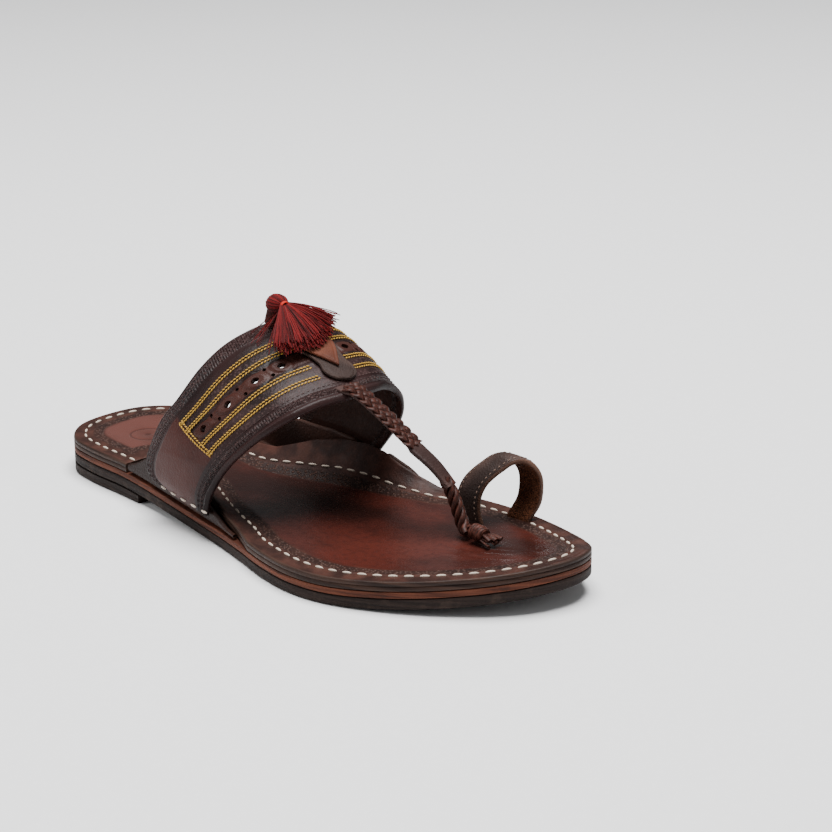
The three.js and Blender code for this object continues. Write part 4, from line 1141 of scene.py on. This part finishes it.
saddle_stitch = {
    "Pitch": 0.0062, "Length": 0.0041, "Width": 0.00105, "Height": 0.0012, "Slant": 0.0,
    "Thread": white_thread,
}
front_line = stitch_line(lambda x: x > cut_along + 3)
heel_line = stitch_line(lambda x: x < cut_along - 2)
sewn("sole_stitches", [front_line], "topsole_leather", ["topsole"], **saddle_stitch)
sewn("heel_stitches", [heel_line], "topsole_leather", ["topsole"], **saddle_stitch)

# %% [markdown]
# ## Gold stripes
# Four double rows of gold thread run over the band between the tooled lines, closed by a short cross row at
# each end. A row is a run of little slanted stitches, and the two rows of a pair lean opposite ways, so they
# read as a chain. White thread holds the band's feet, and dark cord runs along its borders.

# %% Band stitches
def over_band(across, down, lift=0.12):
    """A row over the band between two places on it, with its outward directions."""
    count = 160
    return band_place(np.linspace(*across, count), np.linspace(*down, count), lift)


stripe_runs = {
    0.27: [(0.25, 0.5), (0.598, 0.795)], 0.39: [(0.24, 0.497), (0.592, 0.8)],
    0.63: [(0.222, 0.476), (0.585, 0.82)], 0.75: [(0.208, 0.468), (0.58, 0.835)],
}
gold_rows = {-1: [], 1: []}
for stripe, spans in stripe_runs.items():
    for span in spans:
        for lean in (-1, 1):
            gold_rows[lean].append(over_band(span, (stripe + 0.014 * lean,) * 2))
for lean in (-1, 1):
    shift = 0.004 * lean
    gold_rows[lean].append(over_band((0.25 + shift, 0.206 + shift), (0.27, 0.766)))
    gold_rows[lean].append(over_band((0.795 + shift, 0.838 + shift), (0.27, 0.766)))
for lean, label in ((-1, "rear"), (1, "front")):
    sewn(f"gold_stitches_{label}", gold_rows[lean], "band_leather", ["upper"], Pitch=0.0015, Length=0.00155,
         Width=0.00062, Height=0.0007, Slant=0.38 * lean, Thread=gold_thread)

foot_rows = [over_band((a, a), (0.12, 0.97), 0.05) for a in (0.012, 0.988)]
sewn("foot_stitches", foot_rows, "band_leather", ["upper"], **saddle_stitch)
border_rows = [over_band((0.02, 0.98), (d, d), 0.0) for d in (0.05, 0.09, 0.845, 0.9)]
sewn("border_stitches", border_rows, "band_leather", ["upper"], Pitch=0.0023, Length=0.0015, Width=0.0005,
     Height=0.0005, Slant=0.0, Thread=border_finish)

# %% [markdown]
# ## Instep strap, plait and laces
# A narrow strap leaves the band's front edge and dives between the toes. Its upper two thirds carry a flat
# five-strand plait; below that it splits into laces that twist down to the knot.

# %% Strap
def even_shares(curve, count, start=0.0, end=1.0):
    """Curve shares that are evenly spaced by length."""
    fine = np.linspace(0, 1, 1200)
    points = curve(fine)
    length = np.concatenate([[0], np.cumsum(np.linalg.norm(np.diff(points, axis=0), axis=1))])
    return np.interp(np.linspace(start, end, count), length / length[-1], fine)


strap_curve = smooth_run(np.stack([
    strap_rows[:, 0] * foot_length,
    strap_rows[:, 1] * foot_length,
    topsole_top + strap_rows[:, 2] * instep_rise,
], 1))


def strap_frame(count, start=0.0, end=1.0):
    shares = even_shares(strap_curve, count, start, end)
    centre = strap_curve(shares)
    ahead = unit(strap_curve(np.clip(shares + 1e-3, 0, 1)) - strap_curve(np.clip(shares - 1e-3, 0, 1)))
    aside = unit(np.cross((0, 0, 1), ahead))
    up = np.cross(ahead, aside)
    half = strap_width / 2 * np.interp(centre[:, 0] / foot_length, strap_rows[:, 0], strap_rows[:, 3])
    return centre, aside, up, half[:, None]


def strap_strip():
    """The strap itself, thinner and narrower where the plait covers it."""
    centre, aside, up, half = strap_frame(140)
    share = np.linspace(0, 1, 140)[:, None]
    under = ease((share - 0.04) / 0.06) * ease((0.66 - share) / 0.05)
    half = half * (1 - 0.22 * under)
    thick_half = strap_wall / 2 * (1 - 0.35 * under)
    loops = []
    for turn in np.linspace(0, 2 * math.pi, 36, endpoint=False):
        wide = np.sign(math.cos(turn)) * abs(math.cos(turn)) ** 0.4
        thick = np.sign(math.sin(turn)) * abs(math.sin(turn)) ** 0.6
        loops.append(centre + aside * half * wide + up * thick_half * thick)
    return loft("strap_strip", np.stack(loops, 1), sharp=60)


hand_over(strap_strip(), "band_leather", ["upper"], strap_finish)
centre, aside, up, half = strap_frame(160, 0.03, 0.64)
centre = centre + up * 0.95
plait = grown(
    "strap_plait", "plait", [centre], {"up": [up], "aside": [aside]}, Laces=5, Turn_Length=0.0205,
    Reach=0.0043, Weave=0.0006, Weave_Count=4.0, Flatness=0.85, Sides=10, Width=0.0031, Height=0.0012,
    Seed=3, Thread=lace_finish,
)
hand_over(plait, "lace_leather", ["upper"])


strand_spread, strand_width = 1.7, 2.6


def lace_line():
    """Where the laces run, from the strap's end down to just over the footbed."""
    low = strand_spread + strand_width / 2 + glue_line
    x = strand_rows[:, 0] * foot_length
    floor = camber(x) + topsole_top + low
    height = np.maximum(floor, camber(x) + topsole_top + strand_rows[:, 2] * instep_rise)
    return smooth_run(np.stack([x, strand_rows[:, 1] * foot_length, height], 1))


lace_curve = lace_line()
lace_points = lace_curve(np.linspace(0, 1, 60))
lace_ahead = unit(np.gradient(lace_points, axis=0))
lace_aside = np.tile((0.0, 1.0, 0.0), (60, 1))
lace_up = unit(np.cross(lace_ahead, lace_aside))
laces = grown(
    "toe_laces", "plait", [lace_points], {"up": [lace_up], "aside": [lace_aside]}, Laces=4,
    Turn_Length=0.0165, Reach=0.0019, Weave=0.0016, Weave_Count=1.0, Flatness=0.0, Sides=12, Width=0.0025,
    Height=0.0019, Seed=5, Thread=lace_finish,
)
hand_over(laces, "lace_leather", ["upper"])

# %% [markdown]
# ## The knot
# The laces are bound by a few tight wraps that lie on the footbed, and their cut ends fray toward the toe.

# %% Knot
knot_width, knot_length = 7.0, 9.0
knot_end = lace_curve(1)[0]
knot_ahead = unit((lace_curve(1)[0] - lace_curve(0.99)[0]) * (1, 1, 0))
knot_aside = np.array([-knot_ahead[1], knot_ahead[0], 0])
knot_x = knot_end[0] + 1.56
knot_z = camber(knot_x + knot_length) + topsole_top + knot_width / 2 + glue_line
knot_base = np.array([knot_x, knot_end[1], knot_z])


def knot_wraps():
    """One lace wound tightly round the others."""
    turns = np.linspace(0, 1, 220)
    angle = 2 * math.pi * 4.6 * turns
    radius = 2.35 + 0.25 * np.sin(turns * math.pi) + 0.12 * np.sin(angle * 2.3)
    ring = knot_aside * np.cos(angle)[:, None] + np.array([0, 0, 1]) * np.sin(angle)[:, None]
    line = knot_base + knot_ahead * (1.1 + (knot_length - 2.6) * turns)[:, None] + ring * radius[:, None]
    return [line], [ring]


def knot_tails():
    """Cut ends of the laces: short flat tails that fan out and split."""
    rng = np.random.default_rng(11)
    lines, ups = [], []
    for place in np.linspace(-1, 1, 8):
        share = np.linspace(0, 1, 10)[:, None]
        root = knot_base + knot_ahead * 5.5 + knot_aside * place * 1.7 + (0, 0, rng.uniform(-1.2, 1.3))
        reach = knot_length + rng.uniform(2.6, 6.2)
        tip = knot_base + knot_ahead * reach + knot_aside * (place * 3.0 + 0.9 + rng.uniform(-0.5, 0.5))
        tip[2] = camber(tip[0]) + topsole_top + rng.uniform(0.8, 3.6)
        bow = np.sin(share * math.pi) * (0, 0, rng.uniform(-0.2, 0.9))
        lines.append(root + (tip - root) * share + bow)
        ups.append(np.tile(unit(np.array([0, rng.uniform(-0.6, 0.6), 1.0])), (10, 1)))
    return lines, ups


core_run = straight(knot_base + knot_ahead * 0.4, knot_ahead * (knot_length - 0.9), (0.0, 0.0, 1.0), 12)
knot_parts = [
    ("knot_wraps", knot_wraps(), 12, 0.0021, 0.0017, 2),
    ("knot_tails", knot_tails(), 8, 0.0022, 0.0011, 4),
    ("knot_core", core_run, 16, 0.0048, 0.0048, 1),
]
for name, lines, sides, width, height, seed in knot_parts:
    spun(name, lines, "lace_leather", "toe_knot", sides, width, height, seed, lace_finish)

# %% [markdown]
# ## Toe ring
# The big toe goes through a loop of strip leather. Its two feet stand in the footbed, the outer face has a
# thread row near each edge, and the inside is rough tan suede.

# %% Ring
ring_curve = smooth_run(ring_rows * (foot_length, ball_width, ring_rise))
ring_channel = 1.9


def ring_frame(count):
    shares = np.linspace(0, 1, count)
    place = ring_curve(shares)
    ahead = ring_curve(np.clip(shares + 1e-3, 0, 1)) - ring_curve(np.clip(shares - 1e-3, 0, 1))
    normal = unit(np.stack([0 * shares, -ahead[:, 2], ahead[:, 1]], 1))
    blend = np.clip(np.minimum(shares, 1 - shares) * 12, 0, 1)[:, None]
    side = np.where(shares < 0.5, -1, 1)[:, None] * np.array([[0, 1, 0]])
    normal = unit(normal * blend + side * (1 - blend))
    base = place + np.stack([0 * shares, 0 * shares, camber(place[:, 0]) + topsole_top], 1)
    return base, normal


def ring_strip():
    base, normal = ring_frame(150)
    base[0, 2] -= 1.6
    base[-1, 2] -= 1.6
    half, round_off = ring_width / 2, ring_wall / 2
    turn = np.linspace(math.pi / 2, -math.pi / 2, 9)
    right = np.stack([half - round_off + round_off * np.cos(turn), round_off * (np.sin(turn) - 1)], 1)
    run = np.linspace(-half + round_off, half - round_off, 28)[1:-1]
    edge = hill(np.abs(run) - half + ring_channel, 0.45)
    top = np.stack([run, 0.3 * (1 - (run / half) ** 2) - 0.22 * edge], 1)
    under = np.stack([run[::-1], 0 * run - ring_wall], 1)
    section = np.concatenate([top, right, under, right[::-1] * (-1, 1)])
    across = section[None, :, :1] * np.array([1.0, 0, 0])
    points = base[:, None] + across + normal[:, None] * section[None, :, 1:]
    inside = np.tile(section[:, 1] < -ring_wall + 0.2, (len(base), 1))
    rim = np.abs(section[None, :, 0]) / half + 0 * inside
    return loft("ring_strip", points, {"inside": inside, "rim": rim})


def ring_leather():
    """Dark outer face and paler cut edge round a rough tan inside."""
    finish = Finish("toe_ring_leather")
    pores = finish.cells(1500)
    tone = finish.blend(finish.step(finish.noise(60, 5), 0.35, 0.68), srgb(36, 26, 23), srgb(66, 50, 45))
    rim = finish.times(finish.step(finish.mark("rim"), 0.86, 0.98), 0.55)
    tone = finish.blend(rim, tone, srgb(104, 74, 60))
    fibre = finish.noise(1900, 5)
    suede = finish.blend(finish.step(fibre, 0.35, 0.7), srgb(54, 28, 17), srgb(104, 62, 40))
    inside = finish.mark("inside")
    tone = finish.blend(inside, tone, suede)
    rough = finish.scaled(inside, 0.46, 0.92)
    normal = finish.bump(pores, 0.5, 0.0004)
    normal = finish.bump(fibre, finish.times(inside, 0.9), 0.0012, normal)
    return finish.done(tone, rough, normal)


hand_over(ring_strip(), "band_leather", ["toe_ring"], ring_leather())
base, normal = ring_frame(200)
offsets = [np.array([side * (ring_width / 2 - ring_channel), 0, 0]) for side in (-1, 1)]
ring_stitch_rows = [(base + offset + normal * 0.12, normal) for offset in offsets]
sewn("ring_stitches", ring_stitch_rows, "band_leather", ["toe_ring"], Pitch=0.0023, Length=0.0013,
     Width=0.0005, Height=0.0005, Slant=0.25, Thread=ring_thread)

# %% [markdown]
# ## Tab and leaf on the crown
# The strap's upper end is a tab with a round nose, sewn on top of the band, and a pointed leaf of redder
# leather lies on it under the tassel. Both follow the band's curve a little above it.

# %% Overlays
def band_patch(name, start, end, widths, width, clear, wall):
    """A thin pad on the band: half widths are shares of the width at shares of its own axis."""
    rows = smooth_run(np.array([(a, h, 0) for a, h in widths]))(np.linspace(0, 1, 70))
    loops = []
    start, end = np.array(start), np.array(end)
    turn = np.linspace(math.pi / 2, -math.pi / 2, 7)
    for along, half, _ in rows:
        across, down = start + (end - start) * along
        centre = band_place(across, down)[0][0]
        per_across = np.linalg.norm(band_place(across + 0.01, down)[0][0] - centre) / 0.01
        per_down = np.linalg.norm(band_place(across, down + 0.01)[0][0] - centre) / 0.01
        axis = (end - start) * (per_across, per_down)
        length = np.hypot(*axis)
        reach = max(half, 0.01) * width
        bead = min(wall / 2, reach * 0.9)
        flat = np.linspace(-reach + bead, reach - bead, 26)[1:-1]
        bow, climb = bead * np.cos(turn), wall / 2 * (1 + np.sin(turn))
        side = np.concatenate([flat, reach - bead + bow, flat[::-1], -reach + bead - bow[::-1]])
        high = np.concatenate([0 * flat + wall, climb, 0 * flat, climb[::-1]])
        channel = 0.25 * hill(np.abs(side) - reach + 1.4, 0.35) * (high > wall * 0.99)
        at_across = across + side * axis[1] / length / per_across
        at_down = down - side * axis[0] / length / per_down
        loops.append(band_place(at_across, at_down, clear + high - channel)[0])
    return loft(name, loops, sharp=60)


tab_width, tab_wall = 16.8, 1.4
leaf_width, leaf_wall = 14, 1.2
tab_widths = [(0, 0.24), (0.12, 0.42), (0.4, 0.5), (0.62, 0.39), (0.72, 0.37), (0.82, 0.42), (0.9, 0.39),
              (0.96, 0.29), (1, 0.08)]
leaf_widths = [(0, 0.25), (0.25, 0.43), (0.5, 0.5), (0.65, 0.4), (0.85, 0.19), (1, 0.02)]
tab = band_patch("strap_tab_patch", (0.55, 0.16), (0.527, 0.862), tab_widths, tab_width, glue_line, tab_wall)
hand_over(tab, "overlay_leather", ["strap_tab"], tab_finish)
over_tab = tab_wall + 2 * glue_line
leaf = band_patch("leaf_patch", (0.545, 0.2), (0.5285, 0.735), leaf_widths, leaf_width, over_tab, leaf_wall)
hand_over(leaf, "overlay_leather", ["leaf_overlay"], leaf_finish)

# %% [markdown]
# ## Tassel
# A hank of red thread is folded over itself: the fold makes the round head, a few turns make the collar, and
# the cut threads fan out over the crown. A stalk wound in brown thread holds it to the band's rear edge.

# %% Tassel parts
seat = band_place(0.523, 0.05)[0][0]
head = seat + (3.0, 0, 9.3)
neck = head + (4.5, 0, -0.45)
fan_rows = np.array([
    (0, 0.453, 0.42), (0.18, 0.46, 0.5), (0.38, 0.486, 0.52), (0.56, 0.513, 0.53), (0.72, 0.54, 0.52),
    (0.86, 0.58, 0.44), (1, 0.632, 0.27),
])


def head_threads():
    """Threads laid over the ball from its back to the neck."""
    rng = np.random.default_rng(21)
    axis = unit(neck - head)
    first = unit(np.cross(axis, (0, 0, 1)))
    second = np.cross(axis, first)
    lines, ups = [], []
    for turn in np.linspace(0, 2 * math.pi, 84, endpoint=False):
        sweep_angle = np.linspace(0.02, 0.93, 26)[:, None] * math.pi
        around = turn + 0.25 * np.sin(sweep_angle) + rng.uniform(-0.03, 0.03)
        out = (first * np.cos(around) + second * np.sin(around)) * np.sin(sweep_angle)
        out = out - axis * np.cos(sweep_angle)
        lines.append(head + out * (4.45, 4.45, 3.85) * rng.uniform(0.975, 1.02))
        ups.append(out)
    return lines, ups


def coil(start, end, radius, pitch):
    """A thread wound round a straight run."""
    axis = end - start
    length = np.linalg.norm(axis)
    axis = axis / length
    first = unit(np.cross(axis, (0.3, 1, 0)))
    second = np.cross(axis, first)
    turns = length / pitch
    share = np.linspace(0, 1, int(turns * 28))[:, None]
    angle = 2 * math.pi * turns * share
    out = first * np.cos(angle) + second * np.sin(angle)
    return [start + axis * length * share + out * radius], [out]


def skirt_threads():
    """Cut threads from the neck to where they lie on the crown, in a fixed random order."""
    rng = np.random.default_rng(7)
    lines, ups = [], []
    share = np.linspace(0, 1, 13)[:, None]
    for _ in range(980):
        place = rng.beta(1.05, 1.05)
        layer = rng.uniform(0, 1) ** 1.3
        across = np.interp(place, fan_rows[:, 0], fan_rows[:, 1]) + rng.normal(0, 0.006)
        down = np.interp(place, fan_rows[:, 0], fan_rows[:, 2]) - 0.05 * layer + rng.normal(0, 0.012)
        tip = band_place(across, down, 3.9 + 4.4 * layer)[0][0]
        root = neck + (-0.6, (place - 0.5) * 3.4 + rng.normal(0, 0.2), (layer - 0.5) * 3.2)
        middle = (root + tip) / 2 + (0, 0, 1.4 + 0.8 * layer) + rng.normal(0, 0.35, 3)
        reach = share * rng.uniform(0.92, 1.03)
        line = root * (1 - reach) ** 2 + 2 * middle * reach * (1 - reach) + tip * reach**2
        wave = np.sin(reach * rng.uniform(5, 11) + rng.uniform(0, 6.3)) * reach * 0.22
        line = line + wave * unit(rng.normal(0, 1, 3))
        lines.append(line)
        ups.append(np.tile((0.0, 0.0, 1.0), (13, 1)))
    return lines, ups


def loose_wisps():
    """A few threads that stray from the skirt."""
    rng = np.random.default_rng(15)
    lines, ups = [], []
    share = np.linspace(0, 1, 13)[:, None]
    strays = [(0.468, 0.1, 0.8), (0.46, 0.16, 0.8), (0.45, 0.2, 0.9), (0.442, 0.24, 1.0), (0.452, 0.32, 1.6)]
    for across, down, lift in strays * 2:
        across = across + rng.normal(0, 0.004)
        down = down + rng.normal(0, 0.015)
        tip = band_place(across, down, lift + rng.uniform(0, 0.8))[0][0]
        root = neck + (-1.0, -1.2 + rng.normal(0, 0.3), -1.2 + rng.normal(0, 0.3))
        middle = (root + tip) / 2 + (0, 0, rng.uniform(0.2, 1.6))
        lines.append(root * (1 - share) ** 2 + 2 * middle * share * (1 - share) + tip * share**2)
        ups.append(np.tile((0.0, 0.0, 1.0), (13, 1)))
    return lines, ups


def ball(name, centre, radii):
    """A closed ball of rings for the threads to lie on."""
    turns = np.linspace(0, 2 * math.pi, 40, endpoint=False)
    levels = np.linspace(0.001, math.pi - 0.001, 22)
    circle = np.stack([np.cos(turns), np.sin(turns), 0 * turns], 1)
    rings = [circle * np.sin(level) + (0, 0, np.cos(level)) for level in levels]
    return loft(name, centre + np.array(rings) * radii)


hand_over(ball("tassel_core", head, (4.35, 4.35, 3.75)), "tassel_thread", ["tassel"], red_thread)
stalk_run = straight(seat + (0.1, 0, 0.4), head - seat - (0.6, 0, 2.0), (1.0, 0.0, 0.0), 8)
collar_run = coil(head + (3.2, 0, -0.3), neck + (0.6, 0, -0.1), 2.15, 0.42)
winding = coil(seat + (0.2, 0, 0.6), head + (-0.6, 0, -2.2), 3.2, 0.75)
tassel_parts = [
    ("tassel_head", head_threads(), 6, 0.0005, 31, red_thread),
    ("tassel_collar", collar_run, 8, 0.0005, 32, collar_thread),
    ("tassel_stalk", winding, 8, 0.0009, 33, brown_thread),
    ("tassel_stalk_core", stalk_run, 20, 0.006, 33, brown_thread),
    ("tassel_skirt", skirt_threads(), 5, 0.00042, 34, red_thread),
    ("tassel_wisps", loose_wisps(), 5, 0.0003, 35, red_thread),
]
for name, lines, sides, width, seed, finish in tassel_parts:
    spun(name, lines, "tassel_thread", "tassel", sides, width, width, seed, finish)

# %% [markdown]
# ## Stage and light
# The photo is a product shot on a pale sweep. A broad light overhead makes the soft shadow, a weaker one
# stands beyond the heel on the lateral side, and a faint fill comes from the toe. Area lights are the
# plainest way to make such soft light.

# %% Stage
def pale_floor():
    finish = Finish("paper_floor")
    grain = finish.noise(220, 3)
    tone = finish.blend(grain, srgb(226, 226, 227), srgb(231, 231, 231))
    return finish.done(tone, 0.85, finish.bump(grain, 0.05, 0.0002))


bpy.ops.mesh.primitive_plane_add(size=14, location=(0, 0, 0))
floor = bpy.context.object
floor.name = "paper_floor"
floor.data.materials.append(pale_floor())


def soft_light(name, place, aim, size, power):
    lamp = bpy.data.lights.new(name, "AREA")
    lamp.shape, lamp.size, lamp.energy = "DISK", size, power
    light = bpy.data.objects.new(name, lamp)
    bpy.context.scene.collection.objects.link(light)
    light.location = place
    light.rotation_euler = (Vector(aim) - Vector(place)).to_track_quat("-Z", "Y").to_euler()


soft_light("overhead", (0.05, 0.1, 1.9), (0, 0, 0), 1.4, 104)
soft_light("window", (-0.9, -1.3, 1.0), (0, 0, 0.03), 0.8, 10)
soft_light("fill", (1.4, 0.6, 0.7), (0, 0, 0.03), 0.9, 3)
world = bpy.data.worlds.new("studio")
world.use_nodes = True
world.node_tree.nodes["Background"].inputs[0].default_value = (0.86, 0.87, 0.88, 1)
world.node_tree.nodes["Background"].inputs[1].default_value = 0.26
bpy.context.scene.world = world
print("lights:", len(bpy.data.lights))

# %% [markdown]
# ## Camera
# A long lens looks down at the toe from the lateral side, as in the photo. Its place and its three directions
# were worked out from the outline of the sole in the photo, and a matrix takes them as they are.

# %% Camera
camera = bpy.data.objects.new("camera", bpy.data.cameras.new("camera"))
bpy.context.scene.collection.objects.link(camera)
camera_place = (0.69576, -0.61724, 0.37114)
rightward, upward = (0.70104, 0.71310, -0.00568), (-0.23067, 0.23428, 0.94441)
ahead = (-0.67479, 0.66075, -0.32873)
turn = Matrix((rightward, upward, tuple(-v for v in ahead))).transposed()
camera.matrix_world = Matrix.Translation(camera_place) @ turn.to_4x4()
camera.data.lens = 103.85
camera.data.sensor_width = 36
camera.data.clip_start, camera.data.clip_end = 0.01, 50
bpy.context.scene.camera = camera
print("camera at", [round(v, 3) for v in camera.location])
